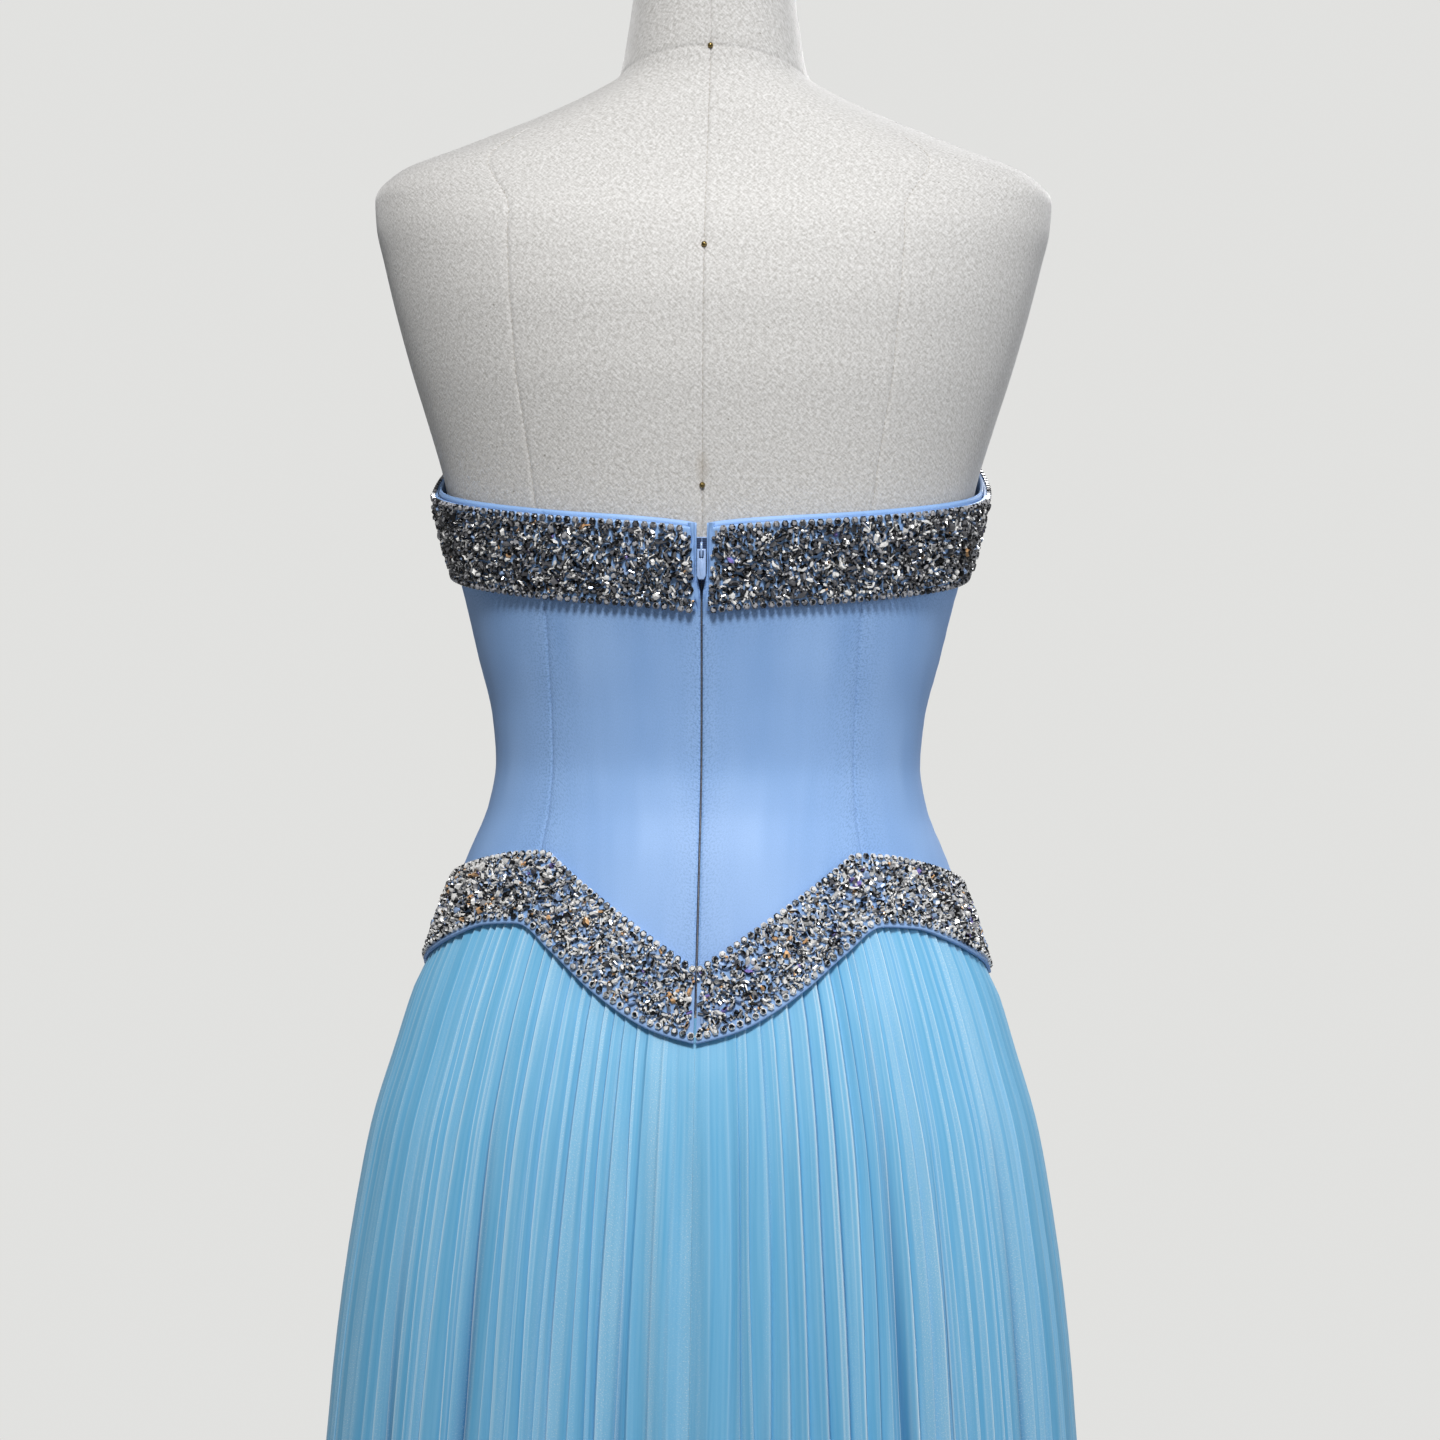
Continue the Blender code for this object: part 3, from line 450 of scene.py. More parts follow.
fading = np.isin(np.concatenate((seam_numbers[:0:-1], seam_numbers)), (1, 3))
neck_line = NECK_SEAM_HEIGHT + NECK_SEAM_RISE * np.cos(np.radians(angles))
heights = row_heights[:, None] + ((neck_line - NECK_SEAM_HEIGHT)
                                  * bump(row_heights - NECK_SEAM_HEIGHT, NECK_SEAM_SPREAD)[:, None])
groove = bump(distance, SEAM_GROOVE_WIDTH)[None, :] * np.where(
    fading[None, :] & (heights > FORM_SEAM_TOP), 0.0, 1.0)
groove = np.maximum(groove, bump(heights - neck_line, SEAM_GROOVE_WIDTH))
torso = on_figure(angles, heights, -SEAM_GROOVE * groove)
for pin in PIN_HEIGHTS:
    spot = on_figure(0.0, pin)
    torso[..., 1] -= PIN_DIMPLE * bump(np.linalg.norm(torso - spot, axis=-1), PIN_DIMPLE_WIDTH)
torso_uv = laid_flat(torso, middle=len(distances) - 1).reshape(-1, 2)
rows, wide = torso.shape[:2]
cells = grid_cells(rows, wide)
ring = np.arange(rows * (wide - 1)).reshape(rows, wide - 1)
index = np.concatenate((ring, ring[:, :1]), 1).ravel()
form_torso = finish_cloth("canvas_torso", torso[:, :-1], index[cells], torso_uv[cells].reshape(-1, 2), canvas,
                          ends=(ring[0][::-1], ring[-1]))
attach(form_torso, BODY)
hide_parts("form_torso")

neck_shift = (FIGURE[-1, 2] - FIGURE[-1, 3]) / 2
neck_top = WAIST_Z + FIGURE[-1, 0] + SEAM_GAP
neck_cap = turned("neck_cap", [(r, neck_top + z) for r, z in CAP_PROFILE], powder_coat, (0.0, neck_shift))
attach(neck_cap, BODY)
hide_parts("form_neck_cap")


def plain(piece):
    """Turns a piece's evaluated result into its plain mesh and removes the modifiers."""
    graph = bpy.context.evaluated_depsgraph_get()
    mesh = bpy.data.meshes.new_from_object(piece.evaluated_get(graph), preserve_all_data_layers=True,
                                           depsgraph=graph)
    piece.modifiers.clear()
    piece.data = mesh
    return piece


def new_tree(name, **inputs):
    """Geometry tree with named inputs after its geometry one, and their sockets by name."""
    tree = bpy.data.node_groups.new(name, "GeometryNodeTree")
    tree.interface.new_socket("Geometry", in_out="OUTPUT", socket_type="NodeSocketGeometry")
    tree.interface.new_socket("Geometry", in_out="INPUT", socket_type="NodeSocketGeometry")
    sockets = {}
    for label, kind in inputs.items():
        socket = tree.interface.new_socket(label, in_out="INPUT", socket_type=f"NodeSocket{kind}")
        sockets[label] = socket.identifier
    return tree, sockets


def grown(piece, tree, sockets, **values):
    """Runs a geometry tree on a piece with its inputs set, and keeps the plain result."""
    modifier = piece.modifiers.new("nodes", "NODES")
    modifier.node_group = tree
    for label, value in values.items():
        modifier[sockets[label]] = value
    return plain(piece)


# One tree lays stitches along any edges: a rounded thread, sunk a little, at every spacing.
stitch_tree, stitch_sockets = new_tree("stitches", Spacing="Float", Length="Float", Thickness="Float",
                                       Thread="Material")
ins = add(stitch_tree, "NodeGroupInput").outputs
line = add(stitch_tree, "MeshToCurve", {"Mesh": ins["Geometry"]})
spots = add(stitch_tree, "ResampleCurve", {"Curve": line, "Length": ins["Spacing"]}, mode="LENGTH")
tangent = add(stitch_tree, "InputTangent")
lie = add(stitch_tree, "FunctionNodeAlignRotationToVector", {"Vector": tangent}, axis="Z")
thread = add(stitch_tree, "MeshIcoSphere", {"Radius": 0.5, "Subdivisions": 1})
stretch = add(stitch_tree, "ShaderNodeCombineXYZ", {"X": ins["Thickness"], "Y": ins["Thickness"],
                                                    "Z": ins["Length"]})
laid = add(stitch_tree, "InstanceOnPoints", {"Points": spots, "Instance": thread, "Rotation": lie,
                                             "Scale": stretch})
real = add(stitch_tree, "RealizeInstances", {0: laid})
dyed = add(stitch_tree, "SetMaterial", {"Geometry": real, "Material": ins["Thread"]})
add(stitch_tree, "NodeGroupOutput", {"Geometry": dyed})


def stitched(name, lines, thread, spacing, length, thickness):
    """Stitches along polylines, each an array of points."""
    edges, count = [], 0
    for points in lines:
        edges += [(count + i, count + i + 1) for i in range(len(points) - 1)]
        count += len(points)
    mesh = bpy.data.meshes.new(name)
    mesh.from_pydata(np.concatenate(lines).tolist(), edges, [])
    return grown(placed(name, mesh), stitch_tree, stitch_sockets, Spacing=spacing, Length=length,
                 Thickness=thickness, Thread=thread)


# Linen thread: spun, matt and a little darker than the canvas it closes.
linen_thread = mottled("linen_thread", 2600.0, "9A958C", "C2BEB6", roughness=0.85)

STITCH_SINK = 0.00045
STITCH_SPACING = 0.0034
STITCH_LENGTH = 0.0022
STITCH_THICKNESS = 0.00042
STITCH_FOOT = -0.255
CENTRE_BACK_TOP = 0.390
stitch_heights = np.linspace(STITCH_FOOT, FORM_SEAM_TOP - SEAM_CLEAR, 240)
stitch_seams = along(FORM_SEAMS, stitch_heights)
form_lines = [on_figure(0.0, np.linspace(STITCH_FOOT, CENTRE_BACK_TOP, 260), -STITCH_SINK),
              on_figure(180.0, np.linspace(STITCH_FOOT, FORM_SEAM_TOP, 260), -STITCH_SINK)]
for side in (1, -1):
    form_lines += [on_figure(side * stitch_seams[:, i], stitch_heights, -STITCH_SINK) for i in range(3)]
form_stitches = stitched("form_seam_stitches", form_lines, linen_thread, STITCH_SPACING, STITCH_LENGTH,
                         STITCH_THICKNESS)
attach(form_stitches, BODY)

# Brass: bare, lightly tarnished pin heads, a warm dark metal with one small highlight each.
brass = mottled("tarnished_brass", 1800.0, "4A3F26", "A58F5B", metallic=1.0, roughness=0.28)
heads = bmesh.new()
for pin in PIN_HEIGHTS:
    spot = Vector(on_figure(0.0, pin).tolist()) + Vector((0, PIN_RADIUS * PIN_STANDS_OUT - PIN_DIMPLE, 0))
    ball = bmesh.ops.create_uvsphere(heads, u_segments=16, v_segments=10, radius=PIN_RADIUS)["verts"]
    bmesh.ops.translate(heads, verts=ball, vec=spot)
pins_mesh = bpy.data.meshes.new("brass_pins")
heads.to_mesh(pins_mesh)
heads.free()
pins_mesh.materials.append(brass)
pins_mesh.shade_smooth()
brass_pins = placed("brass_pins", pins_mesh)
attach(brass_pins, BODY)


# Bodice. Seven panels of duchess satin over boning and lining, sewn with princess seams that roll in
# at their edges and turned in along the top edge. At the centre back they leave a narrow placket,
# which opens into a slot around the zip's slider.
BODICE_INNER = 0.0026
BODICE_OUTER = 0.0046
SATIN_RIM = 0.003
PLACKET_HALF_GAP = 0.0007
SLOT_HALF_WIDTH = 0.0024
SLOT_FOOT = 0.092
SLOT_TAPER = 0.014
SLOT_REACH = 1.5
WIDTH_TAKEN_AT = 0.03
PANEL_STEP = 0.0045
PANEL_WIDTH = 0.12
EDGE_OFFSETS = (0.0, 0.0003, 0.0007, 0.0013, 0.0022)
EDGE_REACH = 0.002
SEWN_GAP = 0.00003
SEAM_ROLL = 0.00042
SEAM_ROLL_WIDTH = 0.00085
TOP_ROLL = 0.0011
TOP_ROLL_WIDTH = 0.0010
PUCKER = 0.00016
PUCKER_SPACING = 0.0085
PUCKER_REACH = 0.007
PEBBLED_SHADE_REACH = 0.012
PEBBLED_SHADE_UP_TO = 0.03
HIP_BAND_OVERLAP = 0.012
HIP_BAND_LOW_ANGLE = 96.0
STATIONS_PER_PANEL = 6
# Columns: height, angle of the back princess seam, of the side seam, of the front princess seam
SEAMS = np.array((
    (-0.146, 46.5, 92.0, 139.0), (-0.070, 46.5, 92.0, 139.0), (-0.040, 50.0, 92.0, 133.0),
    (0.000, 53.0, 91.0, 129.0), (0.090, 48.0, 90.5, 141.0), (0.150, 45.0, 90.0, 146.0),
    (0.210, 45.0, 90.0, 150.0),
))
# Columns: angle, height
TOP_BAND_TOP = np.array((
    (0, 0.1285), (12, 0.131), (45, 0.136), (90, 0.152), (103, 0.163), (125, 0.192), (145, 0.207),
    (162, 0.203), (180, 0.190),
))
TOP_BAND_BOTTOM = np.array((
    (0, 0.0834), (12, 0.0860), (45, 0.091), (90, 0.107), (103, 0.117), (125, 0.141), (145, 0.154),
    (162, 0.151), (180, 0.141),
))
HIP_BAND_TOP = np.array((
    (0, -0.109), (12, -0.093), (24, -0.077), (36, -0.061), (43, -0.0515), (46.5, -0.0475),
    (55, -0.0485), (62, -0.051), (75, -0.0575), (96, -0.068),
))
HIP_BAND_BOTTOM = np.array((
    (0, -0.1465), (5.6, -0.1435), (11, -0.1395), (16, -0.134), (27, -0.118), (37.5, -0.0995),
    (48.5, -0.0847), (57, -0.086), (66, -0.093), (75, -0.101), (96, -0.115),
))


def from_back(angle):
    """Angle away from the centre back on either side, from 0 to 180."""
    return 180 - np.abs(180 - np.abs(angle))


def hip_edge(rows, angle):
    """Height of a hip band edge at any angles; the front repeats the back."""
    away = from_back(angle)
    folded = (180 - away) * HIP_BAND_LOW_ANGLE / (180 - HIP_BAND_LOW_ANGLE)
    return along(rows, np.where(away > HIP_BAND_LOW_ANGLE, folded, away))[..., 0]


corner_angles = (0.0, *SEAMS[0, 1:], 180.0)
station_places = np.arange(4 * STATIONS_PER_PANEL + 1) / STATIONS_PER_PANEL
station_angles = np.interp(station_places, range(5), corner_angles)
station_heights = hip_edge(HIP_BAND_BOTTOM, station_angles) + HIP_BAND_OVERLAP


def waist_seam(angle):
    """Height of the seam between bodice and skirt, straight between the bodice's columns."""
    return np.interp(from_back(angle), station_angles, station_heights)


def seam_angle(number, height):
    """Angle of a bodice seam: 0 is the centre back, 4 the centre front."""
    if number in (0, 4):
        return np.zeros_like(height) + 45.0 * number
    return along(SEAMS, height)[..., number - 1]


def spaced(length, offsets, step):
    """Places along a length: close to both ends, and evenly in between."""
    offsets = np.array(offsets)
    count = max(2, round((length - 2 * offsets[-1]) / step))
    return np.concatenate((offsets, np.linspace(offsets[-1], length - offsets[-1], count + 1)[1:-1],
                           length - offsets[::-1]))


# Duchess satin: tightly woven polyester, periwinkle blue, with a broad soft sheen. Its floats are
# 0.1 mm wide, too fine to show, so a grain of 0.7 mm stands for them. Its soft drag folds are painted
# darker in their troughs and lighter on their ridges: painted shade and sheen. Along the seams and just
# under the band, where it was pressed and pulled, it is roughed into 1.2 mm pebbles that are painted
# darker, partly grain and partly painted shade where the seams and the band's edge shade it.
satin, tree, shader = surface("duchess_satin", roughness=0.50, sheen_weight=0.05, sheen_roughness=0.35,
                              sheen_tint=colour("DCE8FF"), specular_ior_level=0.30)
cloth = add(tree, "UVMap", uv_map="cloth")
pebbled_shade = add(tree, "Attribute", attribute_name="pebbled_shade").outputs["Fac"]
pebbles = add(tree, "TexNoise", {"Vector": cloth, "Scale": 850.0, "Detail": 1.0})
# Painted shade: dark pebbles along the seams and just under the band, partly roughed grain.
shaded_pebbles = add(tree, "Math", {0: ranged(tree, pebbles, 0.46, 0.64, 0.0, 0.55), 1: pebbled_shade},
              operation="MULTIPLY")
grain = add(tree, "TexNoise", {"Vector": cloth, "Scale": 1400.0, "Detail": 2.0})
drag = add(tree, "Mapping", {"Vector": cloth, "Scale": (34.0, 9.0, 1.0)})
folds = add(tree, "TexNoise", {"Vector": drag, "Scale": 1.0, "Detail": 2.0})
# Painted shade and sheen: the noise that raises the drag folds paints their troughs darker and ridges
# lighter.
drag_fold_shade_and_sheen = ramp(tree, folds, (0.3, "86ABDD"), (0.75, "95B8E7"))
even = add(tree, "VectorMath", {0: drag_fold_shade_and_sheen, "Scale": ranged(tree, grain, 0.3, 0.7, 0.93, 1.05)},
           operation="SCALE")
fine = add(tree, "Bump", {"Height": grain, "Strength": 0.12, "Distance": 0.0002})
broad = add(tree, "Bump", {"Height": folds, "Strength": 0.5, "Distance": 0.0009, "Normal": fine})
feed(shader, {"Base Color": mixed(tree, shaded_pebbles, even, "5A7DB0"), "Normal": broad})


def shell(name, outer, inner, finish, marks=None, cloth=None):
    """Closed piece of cloth between an outer and an inner grid of points; cloth gives its flat grid."""
    rows, columns = outer.shape[:2]
    count = rows * columns
    cells = grid_cells(rows, columns)
    flat = np.arange(count).reshape(rows, columns)
    edge = np.concatenate((flat[0], flat[1:, -1], flat[-1, -2::-1], flat[-2:0:-1, 0]))
    following = np.roll(edge, -1)
    rim = np.stack((following, edge, edge + count, following + count), -1)
    quads = np.concatenate((cells, cells[:, ::-1] + count, rim))
    flat_outer, flat_inner = (laid_flat(outer), laid_flat(inner)) if cloth is None else (cloth, cloth)
    uv = np.concatenate((flat_outer.reshape(-1, 2), flat_inner.reshape(-1, 2)))
    doubled = {mark: np.tile(values.ravel(), 2) for mark, values in (marks or {}).items()}
    return finish_cloth(name, np.concatenate((outer.reshape(-1, 3), inner.reshape(-1, 3))), quads,
                        uv[quads].reshape(-1, 2), finish, marks=doubled)


def bodice_panel(start, end, gap_start, gap_end):
    """Grids of a panel from one seam to another, its edges rolled in, and where painted shade darkens it."""

    def between(height, share):
        """Angle at a share of the way from the first seam to the other."""
        return seam_angle(start, height) * (1 - share) + seam_angle(end, height) * share

    mean = on_figure(np.linspace(seam_angle(start, 0.0), seam_angle(end, 0.0), 40), WIDTH_TAKEN_AT)
    width = np.linalg.norm(np.diff(mean, axis=0), axis=1).sum()
    across = spaced(width, EDGE_OFFSETS, PANEL_STEP) / width
    low = waist_seam(between(SEAMS[0, 0], across)) + SEAM_GAP
    high = along(TOP_BAND_TOP, between(SEAMS[-1, 0], across))[:, 0] + SATIN_RIM
    length = (high - low).mean()
    upwards = spaced(length, EDGE_OFFSETS, PANEL_STEP) / length
    height = low + (high - low) * upwards[:, None]
    u = across * width
    v = upwards[:, None] * length
    from_seam = np.minimum(u, width - u)
    slot = SLOT_HALF_WIDTH * ease((height - SLOT_FOOT) / SLOT_TAPER) * (1 - across) * (start == 0)
    inset = gap_start * (1 - across) + gap_end * across + slot
    drawn = u + np.where(across < 0.5, 1, -1) * inset * bump(from_seam, EDGE_REACH + SLOT_REACH * slot)
    angle = between(height, drawn / width)
    roll = np.maximum(SEAM_ROLL * bump(from_seam, SEAM_ROLL_WIDTH),
                      TOP_ROLL * bump(length - v, TOP_ROLL_WIDTH))
    wave = np.sin(2 * np.pi * v / PUCKER_SPACING + 3 * np.sin(v * 41) + 5 * across.round())
    pucker = PUCKER * wave * np.exp(-from_seam / PUCKER_REACH) * (1 - bump(from_seam, SEAM_ROLL_WIDTH))
    out = BODICE_OUTER - roll + pucker
    below_band = along(TOP_BAND_BOTTOM, angle)[..., 0] - height
    # Strongest along the seams and at the band's lower edge, where painted shade stands for their shadow.
    pebbled_shade = np.exp(-np.minimum(from_seam, np.abs(below_band)) / PEBBLED_SHADE_REACH)
    return angle, height, out, pebbled_shade * (below_band > -PEBBLED_SHADE_UP_TO)


satin_pieces = []
for side, hand in ((1, "left"), (-1, "right")):
    for name, start, end, gap in (("back", 0, 1, PLACKET_HALF_GAP), ("side_back", 1, 2, SEWN_GAP),
                                  ("side_front", 2, 3, SEWN_GAP)):
        angle, height, out, pebbled_shade = bodice_panel(start, end, gap, SEWN_GAP)
        piece = shell(f"satin_{name}_{hand}", on_figure(side * angle, height, out),
                      on_figure(side * angle, height, BODICE_INNER), satin, {"pebbled_shade": pebbled_shade})
        satin_pieces.append((piece, f"bodice_{name}_{hand}"))
halves = [grid[:, :-len(EDGE_OFFSETS)] for grid in bodice_panel(3, 4, SEWN_GAP, 0.0)]
angle, height, out, pebbled_shade = (np.concatenate((half, half[:, ::-1]), 1) for half in halves)
angle[:, halves[0].shape[1]:] = 360 - angle[:, halves[0].shape[1]:]
piece = shell("satin_front", on_figure(angle, height, out), on_figure(angle, height, BODICE_INNER), satin,
              {"pebbled_shade": pebbled_shade})
satin_pieces.append((piece, "bodice_front"))
for piece, node in satin_pieces:
    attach(piece, BODY)
    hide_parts(node)
    if node not in ("bodice_back_left", "bodice_back_right"):
        wide = 2 * PANEL_WIDTH if node == "bodice_front" else PANEL_WIDTH


# Invisible zip. Two woven tapes sewn behind the placket's edges carry a nylon coil each; the closed
# coils show as a dark line. The enamelled slider rests at the top, and its pull hangs from a bridge.
TAPE_EDGE = 0.00018
TAPE_WIDTH = 0.0115
TAPE_END = 0.012
TAPE_INNER = 0.0019
TAPE_OUTER = 0.0023
CHAIN_MIDDLE = 0.0013
CHAIN_BOTTOM = -0.131
CHAIN_TOP = 0.1114
COIL_OFFSET = 0.0009
COIL_PITCH = 0.0014
COIL_LENGTH = 0.00105
COIL_THICKNESS = 0.0012
SLIDER_ROUNDING = 0.00022
PULL_ROUNDING = 0.00032
PULL_RIDGE = (0.0011, 0.0007, 0.0046)
PULL_RIDGE_SUNK = 0.0002
PULL_RIDGE_UP = 0.0062

# Zip tape: ribbed woven polyester, matt. Its near-black navy, far deeper than the satin, is painted shade:
# the tape shows only in the placket's narrow slit and the slot round the slider, painted as dark as the
# shadow there.
zip_tape, tree, shader = surface("woven_tape_painted_shade", roughness=0.75, sheen_weight=0.2)
cloth = add(tree, "UVMap", uv_map="cloth")
ribs = add(tree, "TexWave", {"Vector": cloth, "Scale": 260.0}, bands_direction="Y").outputs["Fac"]
relief = add(tree, "Bump", {"Height": ribs, "Strength": 0.4, "Distance": 0.0002})
feed(shader, {"Base Color": ramp(tree, ribs, (0, "1C2A45"), (1, "2F466C")), "Normal": relief})

# Nylon coil: extruded monofilament, smooth, a darker blue where the coils lock.
nylon_coil = mottled("nylon_coil", 700.0, "0E1526", "1E2C4A", roughness=0.35, ior=1.53)


def beside_zip(offset, height, out):
    """Points a distance beside the centre back, over the form."""
    reach = on_figure(0.0, height)[..., 1]
    return on_figure(np.degrees(offset / reach), height, out)


tape_heights = np.linspace(CHAIN_BOTTOM, CHAIN_TOP + TAPE_END, 90)[:, None]
for side, hand in ((1, "left"), (-1, "right")):
    offsets = side * np.linspace(TAPE_EDGE, TAPE_EDGE + TAPE_WIDTH, 7)
    piece = shell(f"zip_tape_{hand}", beside_zip(offsets, tape_heights, TAPE_OUTER),
                  beside_zip(offsets, tape_heights, TAPE_INNER), zip_tape)
    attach(piece, BODY)
    if hand == "left":
        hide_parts("zip_chain")

# Beside the slider the satin of both lips is folded back over the tapes' ends, in uneven small
# folds. Lower down the lips close in over the placket, narrow and end flat.
LIP_TOP = 0.1314
LIP_BOTTOMS = (0.0815, 0.0765)
LIP_NEAR = 0.0036
LIP_NEAR_WAVE = 0.0002
LIP_CLOSES_BY = 0.0027
LIP_CLOSES_FROM = 0.58
LIP_CLOSING = 0.22
LIP_FAR_TOP = 0.0070
LIP_FAR_BOTTOM = 0.0040
LIP_FAR_WAVE = 0.0005
LIP_FLAT_FROM = 0.74
LIP_FLATTENING = 0.24
LIP_END_WIDTH = 0.3
LIP_THICKNESS = 0.0005
LIP_SEWN = 0.0001
LIP_TURN = 0.0003
LIP_CROWN = 0.0016
LIP_FOLDS = 0.0008
lip_across = np.linspace(0, 1, 15)
lip_down = np.linspace(0, 1, 60)[:, None]
for side, hand, phase, lip_bottom in ((1, "left", 0.4, LIP_BOTTOMS[0]), (-1, "right", 2.1, LIP_BOTTOMS[1])):
    lip_heights = LIP_TOP + (lip_bottom - LIP_TOP) * lip_down
    near = LIP_NEAR - LIP_CLOSES_BY * ease((lip_down - LIP_CLOSES_FROM) / LIP_CLOSING)
    near += LIP_NEAR_WAVE * np.sin(9 * lip_down + phase)
    far = LIP_FAR_TOP + (LIP_FAR_BOTTOM - LIP_FAR_TOP) * lip_down
    far += LIP_FAR_WAVE * np.sin(17 * lip_down + 3 * phase)
    end = 1 - ease((lip_down - LIP_FLAT_FROM) / LIP_FLATTENING)
    offsets = near + (far - near) * (LIP_END_WIDTH + (1 - LIP_END_WIDTH) * end) * lip_across
    crown = np.sin(np.pi * lip_across) ** 0.6
    folds = (0.45 * np.sin(2 * np.pi * (2.2 * lip_down + 0.35 * lip_across) + phase)
             + 0.3 * np.sin(2 * np.pi * (5.1 * lip_down - 0.5 * lip_across) + 2 * phase))
    lift = BODICE_OUTER + LIP_SEWN + (LIP_TURN + (LIP_CROWN + LIP_FOLDS * folds) * crown) * end
    lip = shell(f"placket_lip_{hand}", beside_zip(side * offsets, lip_heights, lift),
                beside_zip(side * offsets, lip_heights, lift - LIP_THICKNESS), satin)
    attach(lip, BODY)
    panel = next(piece for piece, node in satin_pieces if node == f"bodice_back_{hand}")

coil_heights = np.linspace(CHAIN_BOTTOM, CHAIN_TOP, 200)
coil_lines = [beside_zip(x, coil_heights, CHAIN_MIDDLE) for x in (-COIL_OFFSET, COIL_OFFSET)]
zip_coil = stitched("zip_coil", coil_lines, nylon_coil, COIL_PITCH, COIL_LENGTH, COIL_THICKNESS)
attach(zip_coil, BODY)

# Enamel: stoved blue paint on die-cast zinc, smooth and glossy, slightly pooled.
enamel = mottled("stoved_blue_enamel", 420.0, "86A5D6", "B4CCF2", detail=3.0, relief=(0.15, 0.0002),
                 roughness=0.24, coat_weight=0.4, coat_roughness=0.1)


def cast_copy(name, node, edge):
    """Copy of a solid's mesh, merged and with its edges rounded as a casting's are."""
    shape = bmesh.new()
    shape.from_mesh(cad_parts[node].data)
    bmesh.ops.remove_doubles(shape, verts=shape.verts, dist=1e-6)
    bmesh.ops.dissolve_limit(shape, angle_limit=np.radians(1), verts=shape.verts, edges=shape.edges)
    mesh = bpy.data.meshes.new(name)
    shape.to_mesh(mesh)
    shape.free()
    mesh.materials.clear()
    mesh.materials.append(enamel)
    piece = placed(name, mesh)
    rounding = piece.modifiers.new("rounding", "BEVEL")
    rounding.width = edge
    rounding.segments = 3
    rounding.limit_method = "ANGLE"
    plain(piece)
    piece.data.shade_smooth()
    return piece


slider = cast_copy("zip_slider_body", "zip_slider", SLIDER_ROUNDING)
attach(slider, BODY)
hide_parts("zip_slider")
pull = cast_copy("zip_pull_tab", "zip_pull", PULL_ROUNDING)
low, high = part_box("zip_pull")
ridge = bmesh.new()
ridge.from_mesh(pull.data)
ball = bmesh.ops.create_uvsphere(ridge, u_segments=20, v_segments=12, radius=1.0)["verts"]
bmesh.ops.scale(ridge, verts=ball, vec=PULL_RIDGE)
bmesh.ops.translate(ridge, verts=ball, vec=(0, high.y - PULL_RIDGE_SUNK, low.z + PULL_RIDGE_UP))
ridge.to_mesh(pull.data)
ridge.free()
pull.data.shade_smooth()
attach(pull, "pull")
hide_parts("zip_pull")


# Crystal bands. Bias strips of satin, stiffened and piped along the lower edge, carry about fifteen
# thousand hand-sewn stones: hematite, silver and clear crystal in navettes, chatons, bugles and seed
# beads, with a cup chain along both edges. The top band is sewn over the bodice's top edge, and the
# hip band covers the waist seam. Both part at the side seams and at the zip.
BAND_CLEARANCE = 0.0006
BAND_WALL = 0.0021
BAND_ROUNDING = 0.0010
BAND_WIDTH = 0.045
BAND_OFFSETS = np.concatenate(((0.0, 0.0004, 0.0010, 0.0018), np.linspace(0.004, 0.041, 14),
                               (0.0432, 0.0440, 0.0446, BAND_WIDTH))) / BAND_WIDTH
BAND_MEAN_RADIUS = 0.150
HIP_RIM = 0.0021
TOP_BAND_END_TOP = 0.0062
TOP_BAND_END_BOTTOM = 0.0036
TOP_BAND_FRINGE = 0.0016
HIP_BAND_END = 0.0007
SKIRT_FLARE_DROP = 0.030
HEM = -1.065
# Columns: height, half width, depth of the back, depth of the front
SKIRT = np.array((
    (HEM, 0.2850, 0.260, 0.258), (-0.850, 0.2610, 0.229, 0.227), (-0.600, 0.2340, 0.196, 0.192),
    (-0.380, 0.2104, 0.169, 0.162), (-0.335, 0.2067, 0.163, 0.155), (-0.290, 0.2017, 0.157, 0.148),
    (-0.245, 0.1950, 0.150, 0.141), (-0.200, 0.1865, 0.142, 0.133), (-0.155, 0.1730, 0.131, 0.124),
    (-0.132, 0.1660, 0.1245, 0.119), (-0.118, 0.1610, 0.120, 0.116), (-0.090, 0.1510, 0.111, 0.110),
    (-0.055, 0.1370, 0.099, 0.104),
))
SEED, BUGLE, NAVETTE, CHATON, CUP = range(5)
CUP_PITCH = 0.0046
CUP_SIZE = 0.0040
CUP_HEIGHT = 0.0026
CUP_OVERHANG = 0.0006
CUP_OVERLAP = 0.36
CUP_TINT = 0.5
# Large stones, sewn on first: kind, number on each square metre, length, width, height
LARGE_STONES = (
    (NAVETTE, 9500, 0.0066, 0.0032, 0.0024), (CHATON, 8500, 0.0041, 0.0041, 0.0022),
    (NAVETTE, 16000, 0.0050, 0.0024, 0.0021), (CHATON, 16000, 0.0030, 0.0030, 0.0019),
)
LARGE_SIZES = (0.86, 1.14)
TRIES_PER_STONE = 8
STONE_NESTING = 0.84
